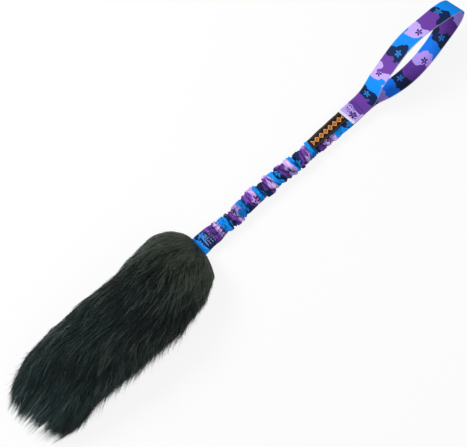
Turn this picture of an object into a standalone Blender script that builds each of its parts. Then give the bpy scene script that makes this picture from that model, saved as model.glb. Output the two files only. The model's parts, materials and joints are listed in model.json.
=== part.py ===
# Bungee tug toy for a dog: a fur covered pull end, a gathered webbing sleeve over an
# elastic cord, and a webbing loop as handle. It lies on a floor, tail towards -X and
# handle towards +X. All lengths are in metres, +Z is up.

import math
import random

import bmesh
import bpy
from mathutils import Vector

# Cloth, webbing and thread
WEBBING_WIDTH = 0.025
STRAP_THICKNESS = 0.0015
CLOTH_THICKNESS = 0.0011
THREAD_DIAMETER = 0.0008
SEAM_GAP = 0.0003

# Folding places of the webbing, where two rounded ends meet
FOLD_GAP = 0.0009
NECK_STANDOFF = 0.002

# Sleeve, from the fur to the handle
TAB_LENGTH = 0.0336
TAB_FLAT_LENGTH = 0.013
GATHER_LENGTH = 0.153
FLAT_TOP_LENGTH = 0.054
SLEEVE_MOUTH_WIDTH = 0.0225
SLEEVE_MOUTH_HEIGHT = 0.0125
CREST_WIDTH = 0.024
CREST_HEIGHT = 0.016
FOLD_DEPTH = 0.0028
FOLD_PITCH = 0.0112
FOLD_SLANT = 0.0016
KNUCKLE_RADIUS = 0.006
KNUCKLE_GAP = 0.0004
KNUCKLE_HOLE_RADIUS = 0.002
GATHER_START_LENGTH = 0.006

# Elastic cord
CORD_DIAMETER = 0.008
CORE_DIAMETER = 0.0052
CORD_END_LENGTH = 0.017
CORD_END_WIDTH = 0.015

# Handle
HEM_SETBACK = 0.0036
THROAT_LENGTH = 0.025
LOOP_LENGTH = 0.170
LOOP_SPREAD = 0.060
LOOP_SWING = 0.0142
LOOP_ROLL = math.radians(30)
TIP_ROLL = math.radians(8)
HEM_SKEW = math.radians(9.6)
LOOP_SKEW = math.radians(5)
TIP_SKEW = math.radians(16)
THROAT_STITCH_LENGTH = 0.013
THROAT_STITCH_INSET = 0.0025

# Label on the sleeve top
LABEL_WIDTH = 0.0142
LABEL_LENGTH = 0.0515
LABEL_THICKNESS = 0.0006
LABEL_SIDE_SHIFT = 0.0030
LABEL_STITCH_INSET = 0.0012

# Fur end
FUR_LENGTH = 0.3155
FUR_WIDTH = 0.118
FUR_HEIGHT = 0.064
FUR_SWING = 0.0120
LOCK_DEPTH = 0.017
MOUTH_WALL = 0.0024
MOUTH_LIP_LENGTH = 0.005
TAIL_HAIR_LENGTH = 0.0635
HIDE_WIDTH = 0.060
HIDE_HEIGHT = 0.0120
HIDE_THICKNESS = 0.0018
HIDE_LIFT = 0.0135
HIDE_SHOULDER_LENGTH = 0.055
CORE_TAIL_MARGIN = 0.016
SEAM_PITCH = 0.006
SEAM_SWING = 0.0020

# Rows of stitches
STITCH_PITCH = 0.0028
STITCH_ROW_PITCH = 0.0042

SMOOTH_ANGLE = math.radians(40)
RING_STEPS = 24
CORD_RING_STEPS = 16
HIDE_STEPS = 16
FUR_RING_STEPS = 44
THREAD_SIDES_LEVEL = 0
SEED = 7

# Outline of the pile seen from above: share of the fur's length from its mouth, reach to
# the left and to the right as shares of its width, then the heights of its top and
# underside as shares of its height
fur_outline_shares = (
    (0.005, 0.165, 0.170, 0.27, 0.040),
    (0.022, 0.235, 0.285, 0.43, 0.022),
    (0.050, 0.320, 0.365, 0.59, 0.008),
    (0.082, 0.362, 0.418, 0.71, 0.0),
    (0.122, 0.386, 0.474, 0.83, 0.0),
    (0.165, 0.389, 0.520, 0.91, 0.0),
    (0.215, 0.386, 0.545, 0.96, 0.0),
    (0.305, 0.366, 0.590, 1.0, 0.0),
    (0.400, 0.364, 0.590, 1.0, 0.0),
    (0.490, 0.390, 0.600, 0.99, 0.0),
    (0.600, 0.388, 0.570, 0.96, 0.0),
    (0.690, 0.378, 0.556, 0.89, 0.0),
    (0.760, 0.352, 0.570, 0.80, 0.0),
    (0.810, 0.326, 0.588, 0.70, 0.0),
    (0.855, 0.280, 0.604, 0.58, 0.0),
    (0.885, 0.245, 0.600, 0.47, 0.0),
)
# Height of the widest line of the pile, and how far along the fur the tips of the tail
# locks reach, from its left side to its right side
fur_waist_share = 0.36
fur_roundness_share = 0.86
underside_flat_share = 1.5
lock_reach_shares = ((0.0, 0.905), (0.22, 0.995), (0.45, 0.985), (0.72, 0.945), (1.0, 0.935))
lock_height_share = 0.11

# Hide: its closed end's height, and how much of its width the rows of stitches take
closed_height_share = 0.55
hide_stitch_share = 0.66

# Sleeve: how much of its top is flat, how much of a flat piece's width is stitched, how
# high its pocket for the cord stays, and how wide the label is at its lower end
flat_top_share = 0.42
stitched_width_share = 0.8
pocket_height_share = 0.6
label_end_share = 0.82

# Loop of the handle: share of its length, and spread as a share of the widest place
loop_outline_shares = (
    (0.0, 0.072),
    (0.06, 0.15),
    (0.15, 0.40),
    (0.28, 0.72),
    (0.40, 0.92),
    (0.52, 1.0),
    (0.66, 0.91),
    (0.79, 0.70),
    (0.90, 0.47),
    (0.965, 0.27),
    (1.0, 0.0),
)
# Along the loop: sideways swing, and height of its middle above the sleeve
loop_swing_shares = ((0.0, 0.0), (0.35, 0.17), (0.55, 0.45), (0.76, 0.70), (1.0, 1.0))
loop_rise_shares = (
    (0.0, 0.0),
    (0.06, 0.19),
    (0.15, 0.50),
    (0.28, 0.80),
    (0.40, 0.97),
    (0.52, 1.02),
    (0.75, 1.20),
    (1.0, 1.36),
)

materials = {}


def clear_scene():
    for item in list(bpy.data.objects):
        bpy.data.objects.remove(item, do_unlink=True)


def material(name, color, roughness, metallic=0.0):
    if name not in materials:
        made = bpy.data.materials.new(name)
        made.use_nodes = True
        shader = made.node_tree.nodes["Principled BSDF"]
        shader.inputs["Base Color"].default_value = (*color, 1.0)
        shader.inputs["Roughness"].default_value = roughness
        shader.inputs["Metallic"].default_value = metallic
        made.diffuse_color = (*color, 1.0)
        materials[name] = made
    return materials[name]


def pivot(name, place, parent):
    """An empty on a joint's axis. Place is in the sleeve's frame, whose origin is the fur's mouth."""
    empty = bpy.data.objects.new(name, None)
    empty.empty_display_size = WEBBING_WIDTH
    bpy.context.collection.objects.link(empty)
    empty["place"] = tuple(place)
    if parent:
        empty.parent = parent
        empty.location = Vector(place) - Vector(parent["place"])
    else:
        empty.location = place
    return empty


def add_mesh(name, bm, look, holder):
    """Puts a bmesh made in the sleeve's frame on the empty that carries it."""
    mesh = bpy.data.meshes.new(name)
    bmesh.ops.translate(bm, verts=bm.verts, vec=-Vector(holder["place"]))
    bm.to_mesh(mesh)
    bm.free()
    mesh.materials.append(look)
    mesh.shade_smooth()
    mesh.set_sharp_from_angle(angle=SMOOTH_ANGLE)
    made = bpy.data.objects.new(name, mesh)
    bpy.context.collection.objects.link(made)
    made.parent = holder
    return made


def loft(rings, cap_start=True, cap_end=True):
    """Skins a list of rings, each with as many points, with quads and flat ends."""
    bm = bmesh.new()
    loops = [[bm.verts.new(point) for point in ring] for ring in rings]
    for near, far in zip(loops, loops[1:]):
        for step in range(len(near)):
            after = (step + 1) % len(near)
            bm.faces.new((near[step], near[after], far[after], far[step]))
    if cap_start:
        bm.faces.new(reversed(loops[0]))
    if cap_end:
        bm.faces.new(loops[-1])
    bmesh.ops.recalc_face_normals(bm, faces=bm.faces)
    return bm


def sheet(rows):
    """Skins rows of points, each with as many points, into an open surface."""
    bm = bmesh.new()
    lines = [[bm.verts.new(point) for point in row] for row in rows]
    for near, far in zip(lines, lines[1:]):
        for step in range(len(near) - 1):
            bm.faces.new((near[step], far[step], far[step + 1], near[step + 1]))
    return bm


def solidify(item, thickness, offset):
    layer = item.modifiers.new("Thickness", "SOLIDIFY")
    layer.thickness = thickness
    layer.offset = offset
    layer.use_even_offset = True
    layer.use_quality_normals = True


def smooth_step(start, end, value):
    t = min(1.0, max(0.0, (value - start) / (end - start)))
    return t * t * (3 - 2 * t)


def mix(a, b, t):
    return a + (b - a) * t


def read_table(table, at, column=1):
    """A smooth curve through a column of a table whose first column rises."""
    last = len(table) - 1
    if at <= table[0][0]:
        return table[0][column]
    if at >= table[last][0]:
        return table[last][column]
    i = max(k for k in range(last) if table[k][0] <= at)

    def slope(k):
        low, high = max(0, k - 1), min(last, k + 1)
        return (table[high][column] - table[low][column]) / (table[high][0] - table[low][0])

    span = table[i + 1][0] - table[i][0]
    t = (at - table[i][0]) / span
    a, b = table[i][column], table[i + 1][column]
    p, q = slope(i) * span, slope(i + 1) * span
    return a + t * p + t * t * (3 * (b - a) - 2 * p - q) + t * t * t * (2 * (a - b) + p + q)


def power(value, exponent):
    return math.copysign(abs(value) ** exponent, value)


def oval(x, y, z, half_width, half_height, squareness, steps=RING_STEPS):
    """A ring across the sleeve. A squareness of 2 is an ellipse, more is boxier."""
    ring = []
    for step in range(steps):
        turn = math.tau * step / steps
        across = half_width * power(math.cos(turn), 2 / squareness)
        up = half_height * power(math.sin(turn), 2 / squareness)
        ring.append(Vector((x, y + across, z + up)))
    return ring


def oval_top(across, half_width, half_height, squareness):
    """Height of such a ring's upper side over its middle."""
    share = min(1.0, abs(across) / half_width)
    return half_height * (1 - share**squareness) ** (1 / squareness)


def thread(name, points, look, holder, cyclic=False):
    """A stitching thread as a round curve through the points."""
    curve = bpy.data.curves.new(name, "CURVE")
    curve.dimensions = "3D"
    curve.bevel_depth = THREAD_DIAMETER / 2
    curve.bevel_resolution = THREAD_SIDES_LEVEL
    curve.use_fill_caps = not cyclic
    curve.resolution_u = 1
    spline = curve.splines.new("POLY")
    spline.points.add(len(points) - 1)
    base = Vector(holder["place"])
    for target, point in zip(spline.points, points):
        target.co = (*(Vector(point) - base), 1.0)
    spline.use_cyclic_u = cyclic
    curve.materials.append(look)
    made = bpy.data.objects.new(name, curve)
    bpy.context.collection.objects.link(made)
    made.parent = holder
    return made


def serpentine(start, length, half_width, rows, height, skew=0.0):
    """A thread's way up and down a flat piece, row by row, with round turns."""
    points = []
    turn_steps = 5
    pitch = length / (rows - 1)
    for row in range(rows):
        side = 1 if row % 2 == 0 else -1
        x = start + pitch * row
        straight = half_width - pitch / 2
        steps = max(2, round(2 * straight / STITCH_PITCH))
        for step in range(steps + 1):
            y = side * mix(-straight, straight, step / steps)
            points.append((x - y * skew, y, height(x, y)))
        if row < rows - 1:
            for step in range(1, turn_steps):
                turn = math.pi * step / turn_steps
                x_turn = x + pitch / 2 * (1 - math.cos(turn))
                y = side * (straight + pitch / 2 * math.sin(turn))
                points.append((x_turn - y * skew, y, height(x_turn, y)))
    return points


# Places along the sleeve, from the fur's mouth at zero
axis_z = CREST_HEIGHT / 2
hide_length = FUR_LENGTH - TAIL_HAIR_LENGTH
core_strap_length = hide_length - CORE_TAIL_MARGIN
neck_x = NECK_STANDOFF
tab_end_x = TAB_LENGTH
sway_x = tab_end_x + KNUCKLE_GAP + KNUCKLE_RADIUS
gather_end_x = tab_end_x + GATHER_LENGTH
top_start_x = gather_end_x + SEAM_GAP
handle_x = top_start_x + FLAT_TOP_LENGTH
hem_x = handle_x + HEM_SETBACK
split_x = hem_x + THROAT_LENGTH
tip_x = split_x + LOOP_LENGTH
flat_half = CLOTH_THICKNESS
mouth_half_width = SLEEVE_MOUTH_WIDTH / 2
mouth_half_height = SLEEVE_MOUTH_HEIGHT / 2
web_half = WEBBING_WIDTH / 2
stitched_half = web_half * stitched_width_share
flat_top_length = FLAT_TOP_LENGTH * flat_top_share
crest_half_width = CREST_WIDTH / 2
flatness = CREST_HEIGHT / CREST_WIDTH
cord_radius = CORD_DIAMETER / 2
thread_lift = SEAM_GAP + THREAD_DIAMETER / 2
flat_squareness = 7
rim_squareness = 3
round_squareness = 2
cord_end_squareness = 2.4


def core_line(back):
    """Middle of the core strap and the hide, at a distance behind the fur's mouth."""
    rise = smooth_step(0, HIDE_SHOULDER_LENGTH * 2, back - MOUTH_LIP_LENGTH)
    swing = smooth_step(0, FUR_LENGTH / 2, back - MOUTH_LIP_LENGTH)
    return Vector((-back, -FUR_SWING * swing, axis_z + HIDE_LIFT * rise))


def hide_half_sizes(back):
    """Half width and half height of the hide's outside."""
    narrow = web_half + SEAM_GAP + HIDE_THICKNESS
    low = flat_half + SEAM_GAP + HIDE_THICKNESS
    start = MOUTH_LIP_LENGTH + SEAM_GAP
    grow = smooth_step(start, start + HIDE_SHOULDER_LENGTH, back)
    close = smooth_step(hide_length - HIDE_HEIGHT * 2, hide_length, back)
    half_width = mix(narrow, HIDE_WIDTH / 2, grow) - close * HIDE_HEIGHT / 3
    half_height = mix(low, HIDE_HEIGHT / 2, grow) * mix(1.0, closed_height_share, close)
    return half_width, half_height


def hide_rings(start, end, offset, steps=RING_STEPS):
    """Rings along the hide, set off outwards or inwards from its outside."""
    rings = []
    for step in range(HIDE_STEPS + 1):
        # Closer together at both ends, where the shape turns
        back = mix(start, end, (1 - math.cos(math.pi * step / HIDE_STEPS)) / 2)
        half_width, half_height = hide_half_sizes(back)
        spot = core_line(back)
        squareness = mix(flat_squareness, 3, smooth_step(start, start + HIDE_SHOULDER_LENGTH, back))
        sizes = (half_width + offset, half_height + offset)
        rings.append(oval(*spot, *sizes, squareness, steps))
    return rings


def pile_ring(share, left, right, top, low):
    """A ring across the pile: round above, and flat below where it lies on the floor."""
    middle = (left - right) / 2 * FUR_WIDTH
    reach = (left + right) / 2 * FUR_WIDTH
    upper, lower = top * FUR_HEIGHT, low * FUR_HEIGHT
    widest = mix(lower, upper, fur_waist_share)
    ring = []
    for step in range(FUR_RING_STEPS):
        turn = math.tau * step / FUR_RING_STEPS
        y = middle + reach * power(math.cos(turn), fur_roundness_share)
        rise = abs(math.sin(turn)) ** fur_roundness_share
        if math.sin(turn) >= 0:
            z = mix(widest, upper, rise)
        else:
            z = mix(widest, lower, min(1.0, rise * underside_flat_share))
        ring.append(Vector((-share * FUR_LENGTH, y, z)))
    return ring


def tail_edge(left_y, right_y):
    """The ragged hem of the tail, in pointed locks from its left side to its right side."""
    dice = random.Random(SEED)
    spots = []
    half = FUR_RING_STEPS // 2
    for step in range(half + 1):
        across = step / half
        reach = read_table(lock_reach_shares, across) * FUR_LENGTH
        if step % 2:
            reach -= LOCK_DEPTH * dice.uniform(0.6, 1.0)
        height = FUR_HEIGHT * lock_height_share
        spots.append(Vector((-reach, mix(left_y, right_y, across), height)))
    return spots


def build_fur_pile(holder):
    look = material("black_fur", (0.022, 0.026, 0.024), 0.9)
    steps = FUR_RING_STEPS
    half = steps // 2
    mouth_width = web_half + SEAM_GAP
    mouth_height = flat_half + SEAM_GAP
    lip_end = SEAM_GAP - MOUTH_LIP_LENGTH
    clear = 2 * thread_lift + SEAM_GAP / 2
    rows = [pile_ring(*row) for row in reversed(fur_outline_shares)]
    hem = tail_edge(rows[0][0].y, rows[0][half].y)
    rim = (mouth_width + MOUTH_WALL, mouth_height + MOUTH_WALL)
    rows.append(oval(0, 0, axis_z, *rim, rim_squareness, steps))
    rows.append(oval(0, 0, axis_z, mouth_width, mouth_height, flat_squareness, steps))
    rows.append(oval(lip_end, 0, axis_z, mouth_width, mouth_height, flat_squareness, steps))
    rows += hide_rings(MOUTH_LIP_LENGTH, hide_length + clear, clear, steps)
    bm = loft(rows, cap_start=False)

    # The upper and the lower side of the tail meet along the hem
    bm.verts.ensure_lookup_table()
    first = bm.verts[:steps]
    hem_verts = [bm.verts.new(spot) for spot in hem]
    tips = [hem_verts[min(step, steps - step)] for step in range(steps)]
    for step in range(steps):
        after = (step + 1) % steps
        corners = (first[after], first[step], tips[step], tips[after])
        bm.faces.new(tuple(dict.fromkeys(corners)))
    bmesh.ops.recalc_face_normals(bm, faces=bm.faces)
    add_mesh("fur_pile", bm, look, holder)


def build_hide(holder):
    look = material("hide_backing", (0.30, 0.24, 0.19), 0.85)
    outside = hide_rings(MOUTH_LIP_LENGTH + SEAM_GAP, hide_length, 0)
    inside = hide_rings(MOUTH_LIP_LENGTH + SEAM_GAP, hide_length - HIDE_THICKNESS, -HIDE_THICKNESS)
    add_mesh("hide_tube", loft(list(reversed(outside)) + inside), look, holder)


def build_core_strap(holder):
    look = material("core_webbing", (0.05, 0.05, 0.055), 0.8)
    rings = []
    nose = [math.radians(a) for a in (15, 40, 65, 90)]
    nose_x = neck_x - FOLD_GAP / 2
    for turn in nose:
        x = nose_x - flat_half * (1 - math.cos(turn))
        rings.append(oval(x, 0, axis_z, web_half, flat_half * math.sin(turn), flat_squareness))
    steps = 14
    for step in range(steps + 1):
        spot = core_line(mix(MOUTH_LIP_LENGTH, core_strap_length, step / steps))
        rings.append(oval(spot.x, spot.y, spot.z, web_half, flat_half, flat_squareness))
    add_mesh("core_strap", loft(rings), look, holder)


def build_fur_threads(holder):
    look = material("hide_thread", (0.03, 0.03, 0.03), 0.7)

    # Whip stitch along the right edge of the hide
    start = HIDE_SHOULDER_LENGTH * 1.4
    end = hide_length - HIDE_HEIGHT * 2.5
    count = round((end - start) / SEAM_PITCH) * 2
    side = []
    for step in range(count + 1):
        back = mix(start, end, step / count)
        spot = core_line(back)
        half_width, _ = hide_half_sizes(back)
        swing = SEAM_SWING * (1 if step % 2 else -1)
        side.append((spot.x, spot.y - half_width - thread_lift, spot.z + swing))
    thread("side_seam", side, look, holder)

    # Rows across the top of the hide at its neck and at its tail
    row_places = (
        ("neck_stitching", HIDE_SHOULDER_LENGTH / 3),
        ("tail_stitching", hide_length - HIDE_HEIGHT * 2.2),
    )
    for name, back in row_places:
        half_width, half_height = hide_half_sizes(back)
        spot = core_line(back)
        reach = half_width * hide_stitch_share
        count = round(2 * reach / STITCH_PITCH)
        row = []
        for step in range(count + 1):
            y = mix(-reach, reach, step / count)
            x = spot.x + STITCH_PITCH / 2 * (1 if step % 2 else -1)
            near = core_line(-x)
            w, h = hide_half_sizes(-x)
            row.append((x, spot.y + y, near.z + oval_top(y, w, h, 3) + thread_lift + SEAM_GAP / 2))
        thread(name, row, look, holder)

    # Bar tack on the core strap's tail end
    def strap_top(x, y):
        return core_line(-x).z + flat_half + thread_lift

    length = STITCH_ROW_PITCH * 4
    start = -core_strap_length + STITCH_ROW_PITCH
    tack = serpentine(start, length, web_half - STITCH_ROW_PITCH / 2, 5, strap_top)
    shift = core_line(core_strap_length).y
    thread("core_bar_tack", [(x, y + shift, z) for x, y, z in tack], look, holder)


def sleeve_end_sizes(reach, length, flat_length):
    """Half width, half height and squareness between the flat end and the round mouth."""
    t = smooth_step(flat_length, length, reach)
    half_width = mix(web_half, mouth_half_width, t)
    half_height = mix(flat_half, mouth_half_height, t)
    return half_width, half_height, mix(flat_squareness, round_squareness, t**0.5)


def sleeve_end_rings(fold_x, mouth_x, flat_length):
    """Rings of a sleeve's end, from its rounded fold to its mouth and back inside."""
    way = 1 if mouth_x > fold_x else -1
    length = abs(mouth_x - fold_x)
    start = FOLD_GAP / 2
    rings = []
    for turn in [math.radians(a) for a in (15, 40, 65, 90)]:
        reach = start + flat_half * (1 - math.cos(turn))
        x = fold_x + way * reach
        rings.append(oval(x, 0, axis_z, web_half, flat_half * math.sin(turn), flat_squareness))
    steps = 9
    for step in range(1, steps + 1):
        reach = mix(start + flat_half, length, step / steps)
        w, h, n = sleeve_end_sizes(reach, length, flat_length)
        rings.append(oval(fold_x + way * reach, 0, axis_z, w, h, n))
    pocket = length - CORD_END_LENGTH - SEAM_GAP
    for step in range(7):
        reach = mix(length, pocket, step / 6)
        w, h, n = sleeve_end_sizes(reach, length, flat_length)
        w, h = w - CLOTH_THICKNESS, max(h - CLOTH_THICKNESS, flat_half * pocket_height_share)
        rings.append(oval(fold_x + way * reach, 0, axis_z, w, h, n))
    return rings


def cord_end_rings(mouth_x, back, length, flat_length):
    """The cord's sewn end: round at the sleeve's mouth, flat where it is stitched."""
    rings = []
    steps = 7
    for step in range(steps + 1):
        t = step / steps
        inward = mix(0, CORD_END_LENGTH - SEAM_GAP, t)
        w, h, n = sleeve_end_sizes(length - inward, length, flat_length)
        w -= CLOTH_THICKNESS + SEAM_GAP
        h = max(h - CLOTH_THICKNESS, flat_half * pocket_height_share) - SEAM_GAP
        flat = smooth_step(0, 1, t)
        half_width = min(w, mix(cord_radius, CORD_END_WIDTH / 2, flat))
        half_height = min(h, cord_radius)
        sizes = (half_width, half_height, cord_end_squareness)
        rings.append(oval(mouth_x + back * inward, 0, axis_z, *sizes, CORD_RING_STEPS))
    return rings


def build_tab(holder):
    cloth = material("sleeve_blue", (0.01, 0.26, 0.80), 0.6)
    rings = sleeve_end_rings(neck_x, tab_end_x, TAB_FLAT_LENGTH)
    add_mesh("sleeve_tab", loft(rings), cloth, holder)
    rubber = material("cord_end", (0.70, 0.70, 0.68), 0.7)
    length = tab_end_x - neck_x
    rings = cord_end_rings(tab_end_x, -1, length, TAB_FLAT_LENGTH)
    add_mesh("cord_lower_end", loft(rings), rubber, holder)

    def tab_top(x, y):
        w, h, n = sleeve_end_sizes(x - neck_x, length, TAB_FLAT_LENGTH)
        return axis_z + oval_top(y, w, h, n) + thread_lift + SEAM_GAP / 2

    look = material("tab_thread", (0.02, 0.05, 0.20), 0.6)
    start = neck_x + STITCH_ROW_PITCH
    way = serpentine(start, STITCH_ROW_PITCH * 2.5, stitched_half, 4, tab_top)
    thread("tab_stitching", way, look, holder)


def gather_rings():
    """Rings of the gathered cloth: a round closed start, then slanted uneven folds."""
    rings = []
    for degrees in (0, 25, 50, 70):
        first = math.asin(KNUCKLE_HOLE_RADIUS / KNUCKLE_RADIUS)
        turn = mix(first, math.pi / 2, math.radians(degrees) / (math.pi / 2))
        x = sway_x - KNUCKLE_RADIUS * math.cos(turn)
        radius = KNUCKLE_RADIUS * math.sin(turn)
        rings.append(oval(x, 0, axis_z, radius, radius, round_squareness))
    dice = random.Random(SEED)
    start = sway_x
    end = gather_end_x
    count = round((end - start) / FOLD_PITCH)
    shares_per_fold = (0.0, 0.24, 0.5, 0.76)
    edges = [0.0]
    for _ in range(count):
        edges.append(edges[-1] + dice.uniform(0.75, 1.25))
    edges = [start + (end - start) * edge / edges[-1] for edge in edges]
    for fold in range(count):
        slant = FOLD_SLANT * dice.uniform(-1, 1)
        lean = dice.uniform(0, math.tau)
        depth = FOLD_DEPTH * dice.uniform(0.7, 1.0)
        lobe = dice.uniform(0, math.tau)
        span = edges[fold + 1] - edges[fold]
        for share in shares_per_fold:
            x = edges[fold] + share * span
            crest = math.sin(math.pi * share) ** 1.4
            enter = smooth_step(start, start + GATHER_START_LENGTH, x)
            leave = smooth_step(end - FOLD_PITCH * 1.5, end, x)
            ring = []
            for step in range(RING_STEPS):
                turn = math.tau * step / RING_STEPS
                wave = 1 + 0.12 * math.sin(2 * turn + lobe) + 0.06 * math.sin(3 * turn - lobe)
                reach = crest_half_width - depth * min(1.0, max(0.0, 1 - crest * wave))
                shift = slant * math.cos(turn - lean) * crest * enter * (1 - leave)
                flat = mix(KNUCKLE_RADIUS, reach * flatness, enter)
                flat = mix(flat, mouth_half_height, leave)
                wide = mix(KNUCKLE_RADIUS, reach, enter)
                wide = mix(wide, mouth_half_width, leave)
                y = wide * math.cos(turn)
                z = axis_z + flat * math.sin(turn)
                ring.append(Vector((x + shift, y, z)))
            rings.append(ring)
    rings.append(oval(end, 0, axis_z, mouth_half_width, mouth_half_height, round_squareness))
    return rings


def build_gathered_sleeve(holder):
    look = material("sleeve_purple", (0.24, 0.13, 0.52), 0.6)
    bm = loft(gather_rings(), cap_start=False, cap_end=False)
    made = add_mesh("gathered_sleeve", bm, look, holder)
    solidify(made, CLOTH_THICKNESS, -1)


def build_cord(holder):
    braid = material("cord_braid", (0.75, 0.75, 0.73), 0.75)
    rubber = material("cord_rubber", (0.62, 0.58, 0.45), 0.6)
    end = gather_end_x
    steps = CORD_RING_STEPS
    wall = (CORD_DIAMETER - CORE_DIAMETER) / 2 - SEAM_GAP
    round_turns = [math.radians(a) for a in (12, 35, 60, 90)]
    outside = []
    for turn in round_turns:
        radius = cord_radius * math.sin(turn)
        x = sway_x - cord_radius * math.cos(turn)
        outside.append(oval(x, 0, axis_z, radius, radius, round_squareness, steps))
    outside.append(oval(end, 0, axis_z, cord_radius, cord_radius, round_squareness, steps))
    hollow = cord_radius - wall
    inside = [oval(x, 0, axis_z, hollow, hollow, round_squareness, steps) for x in (end, sway_x)]
    add_mesh("cord_braid", loft(outside + inside), braid, holder)
    radius = CORE_DIAMETER / 2
    rod = [
        oval(sway_x + SEAM_GAP, 0, axis_z, radius, radius, round_squareness, steps),
        oval(end, 0, axis_z, radius, radius, round_squareness, steps),
    ]
    add_mesh("rubber_core", loft(rod), rubber, holder)


def top_surface(x, y):
    """Height of the sleeve top's upper side."""
    length = handle_x - top_start_x
    w, h, n = sleeve_end_sizes(handle_x - x, length, flat_top_length)
    return axis_z + oval_top(y, w, h, n)


def build_sleeve_top(holder):
    cloth = material("sleeve_blue", (0.01, 0.26, 0.80), 0.6)
    rings = sleeve_end_rings(handle_x, top_start_x, flat_top_length)
    add_mesh("sleeve_top", loft(rings), cloth, holder)
    length = handle_x - top_start_x
    rubber = material("cord_end", (0.70, 0.70, 0.68), 0.7)
    rings = cord_end_rings(top_start_x, 1, length, flat_top_length)
    add_mesh("cord_upper_end", loft(rings), rubber, holder)


def label_point(along, across, lift):
    """A point over the label: shares of its length and of its half width."""
    x = handle_x - FOLD_GAP - flat_half - LABEL_LENGTH * (1 - along)
    narrow = mix(label_end_share, 1.0, smooth_step(0, 0.6, along))
    y = LABEL_SIDE_SHIFT * narrow + across * narrow * LABEL_WIDTH / 2
    return Vector((x, y, top_surface(x, y) + lift))


def build_label(holder):
    look = material("label_weave", (0.025, 0.016, 0.012), 0.7)
    steps, columns = 16, 8
    lift = SEAM_GAP + LABEL_THICKNESS / 2
    rows = []
    for step in range(steps + 1):
        rows.append([label_point(step / steps, mix(-1, 1, c / columns), lift) for c in range(columns + 1)])
    made = add_mesh("woven_label", sheet(rows), look, holder)
    solidify(made, LABEL_THICKNESS, 0)
    inset = 1 - 2 * LABEL_STITCH_INSET / LABEL_WIDTH
    end = LABEL_STITCH_INSET / LABEL_LENGTH
    above = SEAM_GAP + LABEL_THICKNESS + thread_lift
    count = round(LABEL_LENGTH / STITCH_PITCH)
    across_count = round(LABEL_WIDTH / STITCH_PITCH)
    way = [label_point(mix(end, 1 - end, s / count), inset, above) for s in range(count)]
    way += [label_point(1 - end, mix(inset, -inset, s / across_count), above) for s in range(across_count)]
    way += [label_point(mix(1 - end, end, s / count), -inset, above) for s in range(count)]
    way += [label_point(end, mix(-inset, inset, s / across_count), above) for s in range(across_count)]
    thread("label_stitching", way, material("label_thread", (0.03, 0.02, 0.02), 0.6), holder, cyclic=True)


def loop_frame(share):
    """Middle of the loop at a share of its length, with its roll and its skew."""
    mid_rise = LOOP_SPREAD / 2 * math.cos(LOOP_ROLL) + web_half * math.sin(LOOP_ROLL) + STRAP_THICKNESS / 2
    y = LOOP_SWING * read_table(loop_swing_shares, share)
    z = axis_z + (mid_rise - axis_z) * read_table(loop_rise_shares, share)
    roll = LOOP_ROLL * smooth_step(0, 0.3, share)
    roll = mix(roll, TIP_ROLL, smooth_step(0.7, 1, share))
    skew = mix(HEM_SKEW, LOOP_SKEW, smooth_step(0, 0.4, share))
    skew = mix(skew, TIP_SKEW, smooth_step(0.6, 1, share))
    spread_roll = LOOP_ROLL * smooth_step(0, 0.3, share)
    return Vector((split_x + LOOP_LENGTH * share, y, z)), roll, skew, spread_roll


def strap_path():
    """Points of the strap's middle line with a roll and a skew, hem to hem."""
    layer = flat_half + SEAM_GAP + STRAP_THICKNESS / 2
    outline = [(s, v * LOOP_SPREAD / 2) for s, v in loop_outline_shares]
    outline[0] = (0.0, layer)
    closed = outline + [(s, -v) for s, v in reversed(outline[:-1])]
    # The outline is drawn as one smooth line round the tip, so that the fold is round
    chords = [0.0]
    for a, b in zip(closed, closed[1:]):
        chords.append(chords[-1] + math.hypot((b[0] - a[0]) * LOOP_LENGTH, b[1] - a[1]))
    table = [(c / chords[-1], *p) for c, p in zip(chords, closed)]
    path = []
    throat_steps = 5
    for step in range(throat_steps):
        x = mix(hem_x, split_x, step / throat_steps)
        path.append((Vector((x, 0, axis_z + layer)), 0.0, HEM_SKEW))
    steps = 76
    for step in range(steps + 1):
        at = step / steps
        share = min(1.0, max(0.0, read_table(table, at, 1)))
        spread = read_table(table, at, 2)
        middle, roll, skew, spread_roll = loop_frame(share)
        offset = Vector((0, math.sin(spread_roll), math.cos(spread_roll))) * spread
        path.append((middle + offset, roll, skew))
    for step in reversed(range(throat_steps)):
        x = mix(hem_x, split_x, step / throat_steps)
        path.append((Vector((x, 0, axis_z - layer)), 0.0, HEM_SKEW))
    return path


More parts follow.
